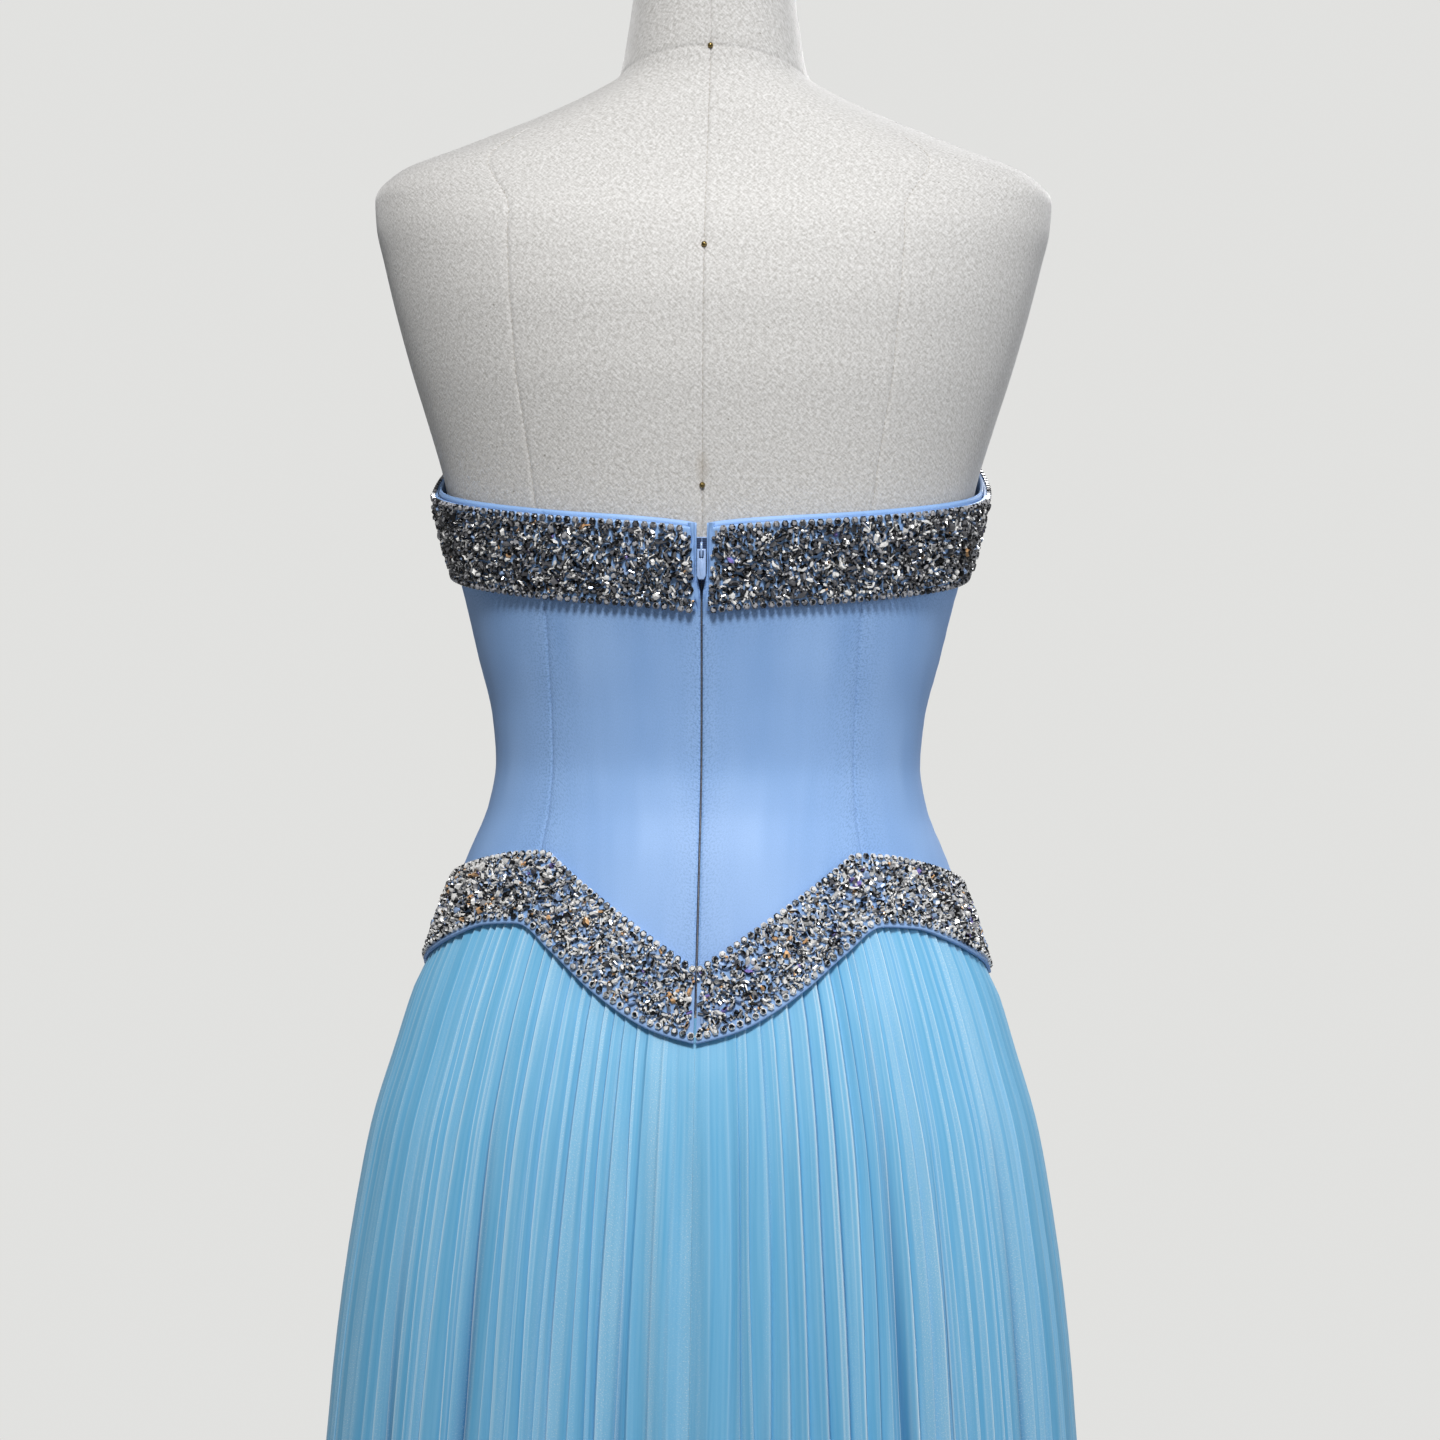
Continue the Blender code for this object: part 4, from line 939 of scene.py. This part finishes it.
# Small ones that fill the ground between them: kind, share, length, width, height
SMALL_STONES = (
    (SEED, 0.44, 0.0021, 0.0021, 0.0019), (BUGLE, 0.28, 0.0034, 0.0015, 0.0015),
    (CHATON, 0.28, 0.0023, 0.0023, 0.0016),
)
SMALL_SIZES = (0.85, 1.15)
SMALL_PITCH = 0.0017
SMALL_ROW_PITCH = 0.87
SMALL_JITTER = 0.28
SMALL_EDGE = 0.0008
SMALL_CLEARANCE = 0.12
STONE_TILT = 0.20
STONE_SINK = 0.0002
STONE_LIFT = 0.0005
LARGE_LENGTH = 0.0028
LARGE_LIFT = 0.0004
CUT_SIDES = 8
TABLE_RADIUS = 0.26
END_OVERHANG = 0.28
PROBE_ANGLE = 0.4
PROBE_RISE = 0.002
# Power on each band's stone tints; 1 mixes all tints alike. Both bands carry the same stones: the top
# band's are painted darker, painted shade as they face down away from the light, and the hip band's
# lighter, painted light as they face up into it.
TOP_BAND_PAINTED_SHADE = 2.0
HIP_BAND_PAINTED_LIGHT = 0.40


def on_dress(angle, height, out=0.0):
    """Points on the dress: the bodice's face above the waist seam, the pleat crests below it."""
    share = ease((waist_seam(angle) - height) / SKIRT_FLARE_DROP)[..., None]
    bodice = on_figure(angle, height, BODICE_OUTER + out)
    return bodice + (plan_point(SKIRT, angle, height, out) - bodice) * share


def on_bodice(angle, height, out=0.0):
    """Points on the bodice's face."""
    return on_figure(angle, height, BODICE_OUTER + out)


# Cut stones: glass and hematite with mirror foil behind them. Each facet gets a random brightness from
# black to white, painted into its colour as a painted reflection of the room.
cut_stone, tree, shader = surface("foiled_cut_stones", metallic=0.20, roughness=0.10,
                                  specular_ior_level=0.8)
tint = add(tree, "Attribute", attribute_name="tint").outputs["Fac"]
facet = add(tree, "Attribute", attribute_name="facet").outputs["Fac"]
hue = ramp(tree, tint, (0, "67676B"), (0.22, "AEAEB2"), (0.45, "FBFAF8"), (0.915, "A9C4EE"),
           (0.978, "F0BE8A"), (0.994, "9C8ADC"), interpolation="CONSTANT")
# Painted reflection: each facet's random brightness, black to white, multiplies its tint.
light = ramp(tree, facet, (0, "0B0B0D"), (0.30, "1C1D20"), (0.44, "8C8E93"), (0.56, "F6F6F6"),
             (1, "FFFFFF"))
feed(shader, {"Base Color": mixed(tree, 1.0, hue, light, blend_type="MULTIPLY")})

# One tree sets a cut stone on every point: its kind, turn and size are on the point.
stone_tree, stone_sockets = new_tree("sewn_stones", Sides="Int", Table="Float", Seed="Int",
                                     Stone="Material")
ins = add(stone_tree, "NodeGroupInput").outputs
bead = add(stone_tree, "MeshIcoSphere", {"Radius": 0.5, "Subdivisions": 1})
rod = add(stone_tree, "MeshCylinder", {"Vertices": 6, "Radius": 0.5, "Depth": 1.0})
bugle = add(stone_tree, "Transform", {"Geometry": rod, "Rotation": (0.0, np.pi / 2, 0.0)})
navette, chaton, crown, setting = (
    add(stone_tree, "MeshCone", {"Vertices": sides, "Radius Top": top, "Radius Bottom": bottom,
                                 "Depth": depth})
    for sides, top, bottom, depth in ((6, ins["Table"], 0.5, 1.0), (ins["Sides"], ins["Table"], 0.5, 1.0),
                                      (ins["Sides"], ins["Table"], 0.42, 0.45), (6, 0.5, 0.46, 0.6)))
lifted = add(stone_tree, "Transform", {"Geometry": crown, "Translation": (0.0, 0.0, 0.55)})
cup = add(stone_tree, "JoinGeometry", {0: lifted})
feed(cup, {0: setting})
kind = add(stone_tree, "InputNamedAttribute", {"Name": "kind"}, data_type="INT")
turn = add(stone_tree, "InputNamedAttribute", {"Name": "turn"}, data_type="FLOAT_VECTOR")
size = add(stone_tree, "InputNamedAttribute", {"Name": "size"}, data_type="FLOAT_VECTOR")
attitude = add(stone_tree, "FunctionNodeEulerToRotation", {0: turn})
together = add(stone_tree, "JoinGeometry")
for number, stone in ((SEED, bead), (BUGLE, bugle), (NAVETTE, navette), (CHATON, chaton), (CUP, cup)):
    same = add(stone_tree, "FunctionNodeCompare", {2: kind, 3: number}, data_type="INT", operation="EQUAL")
    sewn = add(stone_tree, "InstanceOnPoints", {"Points": ins["Geometry"], "Selection": same,
                                                "Instance": stone, "Rotation": attitude, "Scale": size})
    feed(together, {0: sewn})
real = add(stone_tree, "RealizeInstances", {0: together})
# A random value on each face: the brightness of its painted reflection.
painted_reflection_level = add(stone_tree, "FunctionNodeRandomValue", {"Seed": ins["Seed"]}, data_type="FLOAT").outputs[1]
faceted = add(stone_tree, "StoreNamedAttribute", {"Geometry": real, "Name": "facet", "Value": painted_reflection_level},
              data_type="FLOAT", domain="FACE")
foiled = add(stone_tree, "SetMaterial", {"Geometry": faceted, "Material": ins["Stone"]})
add(stone_tree, "NodeGroupOutput", {"Geometry": foiled})


def unit(vectors):
    """Vectors scaled to a length of one."""
    return vectors / np.linalg.norm(vectors, axis=-1)[..., None]


def euler(frames):
    """XYZ Euler angles of rotation matrices whose columns are the last axis."""
    about_x = np.arctan2(frames[:, 2, 1], frames[:, 2, 2])
    about_y = -np.arcsin(np.clip(frames[:, 2, 0], -1, 1))
    about_z = np.arctan2(frames[:, 1, 0], frames[:, 0, 0])
    return np.stack((about_x, about_y, about_z), -1)


def scattered(rng, length, width):
    """Stones over a strip laid flat: place along and across it, kind, length, width and height."""
    discs = np.zeros((0, 3))
    rows = []
    for number, density, long, wide, high in LARGE_STONES:
        radius = np.sqrt(long * wide) / 2
        wanted = int(density * length * width)
        found = 0
        for dart in rng.random((wanted * TRIES_PER_STONE, 2)) * (length, width - 2 * radius) + (0, radius):
            near = np.hypot(discs[:, 0] - dart[0], discs[:, 1] - dart[1])
            if found < wanted and not (near < (discs[:, 2] + radius) * STONE_NESTING).any():
                discs = np.vstack((discs, (*dart, radius)))
                rows.append((*dart, number, *(np.array((long, wide, high)) * rng.uniform(*LARGE_SIZES))))
                found += 1
    ground = np.stack(np.meshgrid(np.arange(SMALL_PITCH / 2, length, SMALL_PITCH),
                                  np.arange(SMALL_PITCH / 2, width, SMALL_PITCH * SMALL_ROW_PITCH)), -1)
    ground[1::2, :, 0] += SMALL_PITCH / 2
    jitter = rng.uniform(-SMALL_JITTER, SMALL_JITTER, (ground.size // 2, 2)) * SMALL_PITCH
    ground = ground.reshape(-1, 2) + jitter
    off_edges = (ground[:, 1] > SMALL_EDGE) & (ground[:, 1] < width - SMALL_EDGE)
    ground = ground[(ground[:, 0] < length) & off_edges]
    near = np.hypot(ground[:, :1] - discs[:, 0], ground[:, 1:] - discs[:, 1]) - discs[:, 2]
    ground = ground[near.min(1) > SMALL_PITCH * SMALL_CLEARANCE]
    pick = rng.choice(len(SMALL_STONES), len(ground), p=[row[1] for row in SMALL_STONES])
    small = np.array([(row[0], *row[2:]) for row in SMALL_STONES])[pick]
    small[:, 1:] *= rng.uniform(*SMALL_SIZES, (len(ground), 1))
    return np.concatenate((np.array(rows), np.concatenate((ground, small), 1)))


def band_piece(label, node, face, top, bottom, angles, ends, rim, fringe, painted_shading, seed):
    """Satin backing of one stretch of band and the stones sewn on it.

    A satin rim shows below the stones, or the lower cups overhang the backing by a fringe.
    """
    column_angles = np.tile(angles, (len(BAND_OFFSETS), 1))
    if ends:
        reach = on_bodice(0.0, (top(0.0) + bottom(0.0)) / 2)[..., 1]
        cut = np.degrees((ends[0] + (ends[1] - ends[0]) * BAND_OFFSETS) / reach) * np.sign(angles[-1])
        column_angles = cut[:, None] + (angles[-1] - cut[:, None]) * np.linspace(0, 1, len(angles))
    low = bottom(column_angles) - rim
    height = low + (top(column_angles) - low) * BAND_OFFSETS[:, None]
    inner = face(column_angles, height, BAND_CLEARANCE)
    from_edge = np.minimum(BAND_OFFSETS, 1 - BAND_OFFSETS)[:, None] * BAND_WIDTH
    rounded = BAND_WALL * np.sqrt(np.clip(1 - (1 - from_edge / BAND_ROUNDING).clip(0) ** 2, 0.02, 1))
    outer = face(column_angles, height, BAND_CLEARANCE + rounded)
    backing = shell(f"{label}_satin", outer, inner, satin)

    rng = np.random.default_rng(seed)
    fine = np.linspace(angles[0], angles[-1], 600)
    steps = np.linalg.norm(np.diff(face(fine, (top(fine) + bottom(fine)) / 2), axis=0), axis=1)
    lengths = np.pad(np.cumsum(steps), (1, 0))
    width = (top(fine) - bottom(fine)).mean()
    low_row, high_row = CUP_SIZE / 2 - fringe, width - CUP_SIZE / 2 + CUP_OVERHANG
    bed = low_row + CUP_SIZE * CUP_OVERLAP
    stones = scattered(rng, lengths[-1], high_row - CUP_SIZE * CUP_OVERLAP - bed)
    chain = np.arange(CUP_PITCH / 2, lengths[-1], CUP_PITCH)
    spots = np.concatenate([stones[:, :2] + (0, bed)] + [
        np.stack((chain, np.full(len(chain), row)), -1) for row in (low_row, high_row)])
    kinds = np.concatenate((stones[:, 2], np.full(2 * len(chain), CUP)))
    sizes = np.concatenate((stones[:, 3:], np.tile((CUP_SIZE, CUP_SIZE, CUP_HEIGHT), (2 * len(chain), 1))))
    spot_angle = np.interp(spots[:, 0], lengths, fine)
    across = spots[:, 1] / width
    if ends:
        margin = np.degrees((ends[0] + (ends[1] - ends[0]) * across + sizes[:, 0] * END_OVERHANG) / reach)
        free = np.abs(spot_angle) > margin
        spot_angle, across, kinds, sizes = spot_angle[free], across[free], kinds[free], sizes[free]
    spot_height = bottom(spot_angle) + (top(spot_angle) - bottom(spot_angle)) * across
    base = BAND_CLEARANCE + BAND_WALL - STONE_SINK
    here = face(spot_angle, spot_height, base)
    ahead = spot_angle + PROBE_ANGLE
    onwards = face(ahead, spot_height + (bottom(ahead) - bottom(spot_angle)), base) - here
    upwards = face(spot_angle, spot_height + PROBE_RISE, base) - here
    normal = np.cross(onwards, upwards)
    normal = unit(normal * np.sign((normal[:, :2] * here[:, :2]).sum(1))[:, None])
    loose = kinds != CUP
    normal = unit(normal + rng.normal(0, STONE_TILT, normal.shape) * loose[:, None])
    spin = rng.uniform(0, np.pi, len(normal)) * loose
    first = unit(onwards - (onwards * normal).sum(1)[:, None] * normal)
    x_axis = first * np.cos(spin)[:, None] + np.cross(normal, first) * np.sin(spin)[:, None]
    frames = np.stack((x_axis, np.cross(normal, x_axis), normal), -1)
    lift = np.isin(kinds, (SEED, BUGLE)) * sizes[:, 2] / 2 + rng.uniform(0, STONE_LIFT, len(kinds)) * loose
    lift += np.where(loose & (sizes[:, 0] > LARGE_LENGTH) & (kinds != BUGLE), LARGE_LIFT, 0.0)
    # Tints raised to the band's power: painted shade on the top band's stones, painted light on the hip
    # band's.
    tints = np.where(loose, rng.random(len(kinds)), CUP_TINT) ** painted_shading
    points = bpy.data.meshes.new(f"{label}_stones")
    points.from_pydata((here + normal * lift[:, None]).tolist(), [], [])
    for mark, form, values in (
            ("kind", "INT", kinds.astype(np.int32)), ("turn", "FLOAT_VECTOR", euler(frames)),
            ("size", "FLOAT_VECTOR", sizes), ("tint", "FLOAT", tints.astype(np.float32))):
        field = "vector" if form == "FLOAT_VECTOR" else "value"
        points.attributes.new(mark, form, "POINT").data.foreach_set(field, values.ravel())
    crystals = grown(placed(f"{label}_stones", points), stone_tree, stone_sockets, Sides=CUT_SIDES,
                     Table=TABLE_RADIUS, Seed=seed, Stone=cut_stone)
    for piece in (backing, crystals):
        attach(piece, BODY)
    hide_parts(node)


side_seam = SEAMS[0, 2]
side_gap = np.degrees(SEAM_GAP / 2 / BAND_MEAN_RADIUS)
bands = (
    ("top_band", on_bodice, lambda angle: along(TOP_BAND_TOP, from_back(angle))[..., 0],
     lambda angle: along(TOP_BAND_BOTTOM, from_back(angle))[..., 0],
     (TOP_BAND_END_BOTTOM, TOP_BAND_END_TOP), 0.0, TOP_BAND_FRINGE, TOP_BAND_PAINTED_SHADE),
    ("hip_band", on_dress, lambda angle: hip_edge(HIP_BAND_TOP, angle),
     lambda angle: hip_edge(HIP_BAND_BOTTOM, angle), (HIP_BAND_END, HIP_BAND_END), HIP_RIM, 0.0,
     HIP_BAND_PAINTED_LIGHT),
)
for seed, (band, face, top, bottom, ends, rim, fringe, painted_shading) in enumerate(bands):
    for side, hand in ((1, "left"), (-1, "right")):
        angles = np.linspace(0, side * (side_seam - side_gap), 64)
        band_piece(f"{band}_{hand}", f"{band}_back_{hand}", face, top, bottom, angles, ends, rim, fringe,
                   painted_shading, 10 * seed + side + 3)
    angles = np.linspace(side_seam + side_gap, 360 - side_seam - side_gap, 120)
    band_piece(f"{band}_front", f"{band}_front", face, top, bottom, angles, None, rim, fringe, painted_shading,
               10 * seed + 5)


# Skirt. Three widths of shimmering organza, sunray-pleated before cutting, so that the knife pleats
# spread from 6 mm at the hip to 12 mm at the hem. They are gathered into the waist seam under the
# hip band, joined at the centre back and the sides, and hang in a few deeper folds.
PLEATS_PER_HALF = 34
PLEAT_CREST = 0.80
PLEAT_VALLEY = 0.92
PLEAT_DEPTH_TOP = 0.0020
PLEAT_DEPTH_HEM = 0.0064
PLEAT_WIDTH = 0.012
PLEATING_TOP = -0.132
PLEAT_PHASES = np.array((0.0, 0.18, 0.33, 0.42, 0.50, 0.56, 0.66, 0.75, 0.785, 0.80, 0.815, 0.86, 0.92))
STRIP_STARTS = (0.33, 0.42, 0.50, 0.56, 0.66)
PLEAT_STRENGTHS = (0.72, 1.22)
PLEAT_BREADTHS = (0.6, 1.4)
CREASE_WIDTH = 0.05
STRIP_EDGE_WIDTH = 0.03
STRIP_LIGHTNESS = 0.8
SHADE_AFTER_CREST = 0.02
SHADE_RISE = 0.05
SHADE_FALL = 0.06
# How the pleats wander down the skirt: waves from hip to hem, size in pleats
WANDERS = ((1.1, 0.20), (2.7, 0.08))
CENTRE_BACK_CALM = 0.040
CALM_WAVE = 0.0018
CALM_WAVES = 250
SKIRT_CLOTH = 0.0005
SKIRT_ROWS = np.concatenate((np.linspace(0, 0.13, 14)[:-1], np.linspace(0.13, 1, 37)))
# How strongly the pleats' marks show round the dress: angle, crease line (painted highlight), folded
# strip, shaded side (painted shade). They are set sharply over the hips, and lie softer at the sides
# and over the centre back.
PLEAT_LOOKS = np.array((
    (-180, 0.80, 0.50, 0.7), (-92, 0.50, 0.50, 0.5), (-62, 0.40, 0.60, 0.4), (-52, 0.85, 0.65, 0.8),
    (-36, 1.00, 0.35, 1.0), (-20, 0.90, 0.35, 0.6), (-12, 0.40, 0.50, 0.3), (0, 0.10, 0.45, 0.1),
    (12, 0.30, 0.55, 0.3), (20, 0.45, 0.95, 0.3), (31, 0.60, 0.80, 0.5), (41, 1.00, 0.55, 1.0),
    (55, 0.90, 0.50, 0.8), (64, 0.45, 0.50, 0.4), (92, 0.45, 0.50, 0.4), (180, 0.80, 0.50, 0.7),
))
# Columns: angle, half angle, depth at the hem, height where the fold begins
FOLDS = (
    (13, 4, 0.011, -0.22), (42, 6, 0.017, -0.13), (57, 5, 0.013, -0.20), (112, 7, 0.014, -0.22),
    (139, 6, 0.017, -0.16), (167, 6, 0.012, -0.26), (-14, 4, 0.007, -0.30), (-39, 6, 0.016, -0.13),
    (-63, 5, 0.013, -0.14), (-106, 6, 0.012, -0.34), (-131, 6, 0.016, -0.18), (-158, 6, 0.013, -0.22),
)
FOLD_RUN = 0.24
FOLD_GROWTH = 0.8
FOLD_FIRST_SHARE = 0.62
FOLD_LENGTH = 0.9
FOLD_CORE_SHARE = 0.45
FOLD_CORE_WIDTH = 0.17
FOLD_SHADE_WIDTH = 1.1

# Organza: sheer crisp polyester over lining, sky blue. It is lighter where a pleat lies double. The
# crease lines are pale, partly the doubled cloth and partly painted highlight; the turned side of each
# pleat and the cores of the large folds are painted shade. Soft upright strips of painted shimmer stand
# for its metallic threads glinting, and specks of painted glint, drawn 0.8 mm across, for its glitter.
organza, tree, shader = surface("shimmering_organza", roughness=0.44, sheen_weight=0.35, sheen_roughness=0.3,
                                sheen_tint=colour("DDF0FF"), specular_ior_level=0.5)
cloth = add(tree, "UVMap", uv_map="cloth")
crease_highlight, doubled, shade = (add(tree, "Attribute", attribute_name=mark).outputs["Fac"]
                          for mark in ("painted_crease_highlight", "folded_strip", "shaded_side"))
upright = add(tree, "Mapping", {"Vector": cloth, "Scale": (62.0, 2.2, 1.0)})
strips = add(tree, "TexNoise", {"Vector": upright, "Scale": 1.0, "Detail": 3.0})
fine = add(tree, "Mapping", {"Vector": cloth, "Scale": (520.0, 9.0, 1.0)})
hairs = add(tree, "TexNoise", {"Vector": fine, "Scale": 1.0, "Detail": 2.0})
glitter = add(tree, "TexNoise", {"Vector": cloth, "Scale": 1250.0, "Detail": 1.0})
ground = mixed(tree, ranged(tree, hairs, 0.35, 0.72, 0.0, 0.26), "67B5E1", "A6D8F4")
# Painted shimmer: soft upright strips of lighter colour stand for glinting metallic threads.
painted_shimmer = add(tree, "Math", {0: ranged(tree, strips, 0.50, 0.68), 1: 0.38}, operation="MULTIPLY")
light = add(tree, "Math", {0: doubled, 1: painted_shimmer}, operation="MAXIMUM")
doubled_and_shimmer = mixed(tree, light, ground, "AEDDF8")
# Painted shade on the turned sides of the pleats and in the cores of the large folds.
with_painted_shade = mixed(tree, shade, doubled_and_shimmer, "2C6FA8")
# Painted highlight on the crease lines.
with_crease_highlight = mixed(tree, crease_highlight, with_painted_shade, "E2F7FF")
# Painted glints: near-white specks of glitter over the doubled strips and the shimmer.
glitter_glints = add(tree, "Math", {0: light, 1: ranged(tree, glitter, 0.56, 0.70)}, operation="MULTIPLY")
relief = add(tree, "Bump", {"Height": glitter, "Strength": 0.2, "Distance": 0.0002})
feed(shader, {"Base Color": mixed(tree, glitter_glints, with_crease_highlight, "EEF8FF"), "Normal": relief})


def fold_growth(start, height):
    """Share of its full depth that a fold has reached at heights below its start."""
    later = FOLD_FIRST_SHARE + (1 - FOLD_FIRST_SHARE) * ease((start - height) / FOLD_LENGTH)
    return ease((start - height) / FOLD_RUN) ** FOLD_GROWTH * later


def from_fold(angle, middle):
    """Angle from a fold's middle, the short way round."""
    return (angle - middle + 180) % 360 - 180


def fold_depth(angle, height):
    """How far the large folds draw the skirt in at points; each has a narrow core."""
    total = 0.0
    for middle, half, depth, start in FOLDS:
        away = from_fold(angle, middle)
        share = fold_growth(start, height)
        core = FOLD_CORE_SHARE * bump(away, half * FOLD_CORE_WIDTH) * share
        total = total + depth * share * ((1 - FOLD_CORE_SHARE) * bump(away, half) + core)
    return total


def pleated_half(rng, centre, side_angle, calm_width, side):
    """Grids of one half width, from its centre line to the side seam.

    They are angles, heights, insets, the three marks of the looks (painted highlight on the creases,
    the folded strips, painted shade on the turned sides and fold cores) and the cloth laid flat.
    """
    places = np.append((np.arange(PLEATS_PER_HALF)[:, None] + PLEAT_PHASES).ravel(), PLEATS_PER_HALF)
    phase = places % 1.0
    number = np.minimum(places.astype(int), PLEATS_PER_HALF - 1)
    rise = 1 - PLEAT_VALLEY + PLEAT_CREST
    rising = 1 - (phase + 1 - PLEAT_VALLEY) / rise
    falling = (phase - PLEAT_CREST) / (PLEAT_VALLEY - PLEAT_CREST)
    after = 1 - (phase - PLEAT_VALLEY) / rise
    inset = np.where(phase < PLEAT_CREST, rising, np.where(phase < PLEAT_VALLEY, falling, after))
    strip_start = rng.choice(STRIP_STARTS, PLEATS_PER_HALF)[number]
    t = SKIRT_ROWS[:, None]

    def varied(low, high, slow):
        """Amount for each pleat that also comes and goes down its length."""
        amount = rng.uniform(low, high, PLEATS_PER_HALF)[number]
        start = rng.random(PLEATS_PER_HALF)[number]
        return amount * (1 - slow * (0.5 + 0.5 * np.sin(2 * np.pi * (1.3 * t + start))))

    # Painted highlight along each crest and along the edge of its folded strip, partly the doubled cloth.
    crease_highlight = (bump(phase - PLEAT_CREST, CREASE_WIDTH) * varied(0.6, 1.0, 0.5)
              + bump(phase - strip_start, STRIP_EDGE_WIDTH) * varied(0.0, 0.4, 0.8))
    strip = np.where((phase >= strip_start) & (phase <= PLEAT_CREST), 1.0, 0.0) * varied(0.15, 1.0, 0.7)
    # Painted shade on the turned side of each pleat, from its crest down to its valley.
    turned_side = ease((phase - PLEAT_CREST - SHADE_AFTER_CREST) / SHADE_RISE)
    shade = turned_side * ease((1.0 - phase) / SHADE_FALL) * varied(0.5, 1.0, 0.5)
    strength = rng.uniform(*PLEAT_STRENGTHS, PLEATS_PER_HALF)[number]
    breaks = np.pad(np.cumsum(rng.uniform(*PLEAT_BREADTHS, PLEATS_PER_HALF)), (1, 0))
    knots = np.arange(PLEATS_PER_HALF + 1)
    wander = np.zeros((len(SKIRT_ROWS), len(knots)))
    for waves, size in WANDERS:
        wander += size * np.sin(2 * np.pi * (waves * t + rng.random(len(knots)))) * ease(t * 6)
    wander += breaks * PLEATS_PER_HALF / breaks[-1] - knots
    wander[:, (0, -1)] = 0
    shifted = places + np.array([np.interp(places, knots, row) for row in wander])
    angles, breadths = [], []
    sweep = np.linspace(centre, side_angle, 241)
    order = slice(None) if centre < side_angle else slice(None, None, -1)
    for share, fractions in zip(SKIRT_ROWS, shifted / PLEATS_PER_HALF):
        line = plan_point(SKIRT, sweep, PLEATING_TOP + (HEM - PLEATING_TOP) * share, 0.0)
        length = np.pad(np.cumsum(np.linalg.norm(np.diff(line, axis=0), axis=1)), (1, 0))
        angles.append(np.interp(fractions * length[-1], length, sweep))
        breadths.append(np.interp(angles[-1], sweep[order], line[order, 0]))
    angles, breadth = np.array(angles), np.array(breadths)
    seam = waist_seam(angles) - SEAM_GAP
    heights = seam + (HEM - seam) * t
    depth = PLEAT_DEPTH_TOP + (PLEAT_DEPTH_HEM - PLEAT_DEPTH_TOP) * t
    calm = bump(breadth, calm_width) if calm_width else np.zeros_like(angles)
    pleat = depth * inset * strength
    wave = 1 + np.sin(side * breadth * CALM_WAVES + 1.3 * np.sin(t * 5))
    insets = pleat + (depth / 2 - pleat) * calm + calm * CALM_WAVE * wave * ease(t * 8)
    looks = np.moveaxis(along(PLEAT_LOOKS, side * np.minimum(angles, 180)), -1, 0)
    # Painted shade in the cores of the large folds, growing as the folds deepen.
    folded = sum(fold_growth(start, heights) * bump(from_fold(side * angles, middle),
                                                    half * FOLD_CORE_WIDTH * FOLD_SHADE_WIDTH)
                 for middle, half, depth, start in FOLDS)
    cloth = np.stack(np.broadcast_arrays(side * places * PLEAT_WIDTH, HEM * t), -1)
    return (angles, heights, insets, crease_highlight * looks[0], strip * looks[1] * STRIP_LIGHTNESS,
            np.maximum(shade * looks[2], folded), cloth)


def normals_of(points):
    """Unit normals of a grid, pointing away from the stand's axis."""
    normal = unit(np.cross(np.gradient(points, axis=1), np.gradient(points, axis=0)))
    return normal * np.sign((normal[..., :2] * points[..., :2]).sum(-1).mean())


def skirt_width(name, node, angles, heights, insets, crease_highlight, strip, shade, cloth):
    """Closed pleated width from its grids."""
    outer = on_dress(angles, heights, -insets - fold_depth(angles, heights))
    inner = outer - normals_of(outer) * SKIRT_CLOTH
    piece = shell(name, outer, inner, organza,
                  {"painted_crease_highlight": crease_highlight, "folded_strip": strip, "shaded_side": shade}, cloth)
    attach(piece, BODY)
    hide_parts(node)
    return piece


HIP_HALF_WIDTH, HIP_BACK_DEPTH = SKIRT[9, 1:3]
side_gap_angle = np.degrees(SEWN_GAP / HIP_HALF_WIDTH)
rng = np.random.default_rng(21)
for side, hand in ((1, "left"), (-1, "right")):
    grids = list(pleated_half(rng, np.degrees(SEWN_GAP / HIP_BACK_DEPTH), side_seam - side_gap_angle,
                              CENTRE_BACK_CALM, side))
    grids[0] = side * grids[0]
    piece = skirt_width(f"organza_back_{hand}", f"skirt_back_{hand}", *grids)
left, right = (pleated_half(rng, 180.0, side_seam + side_gap_angle, 0.0, side) for side in (1, -1))
joined = []
for number, (mine, other) in enumerate(zip(left, right)):
    mirrored = 360 - other if number == 0 else other
    joined.append(np.concatenate((mine[:, ::-1], mirrored[:, 1:]), 1))
joined[0] = from_fold(joined[0], 0)
piece = skirt_width("organza_front", "skirt_front", *joined)


size = {"cad_box": [list(corner) for corner in cad_box],
        "visual_box": [list(corner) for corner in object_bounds()]}
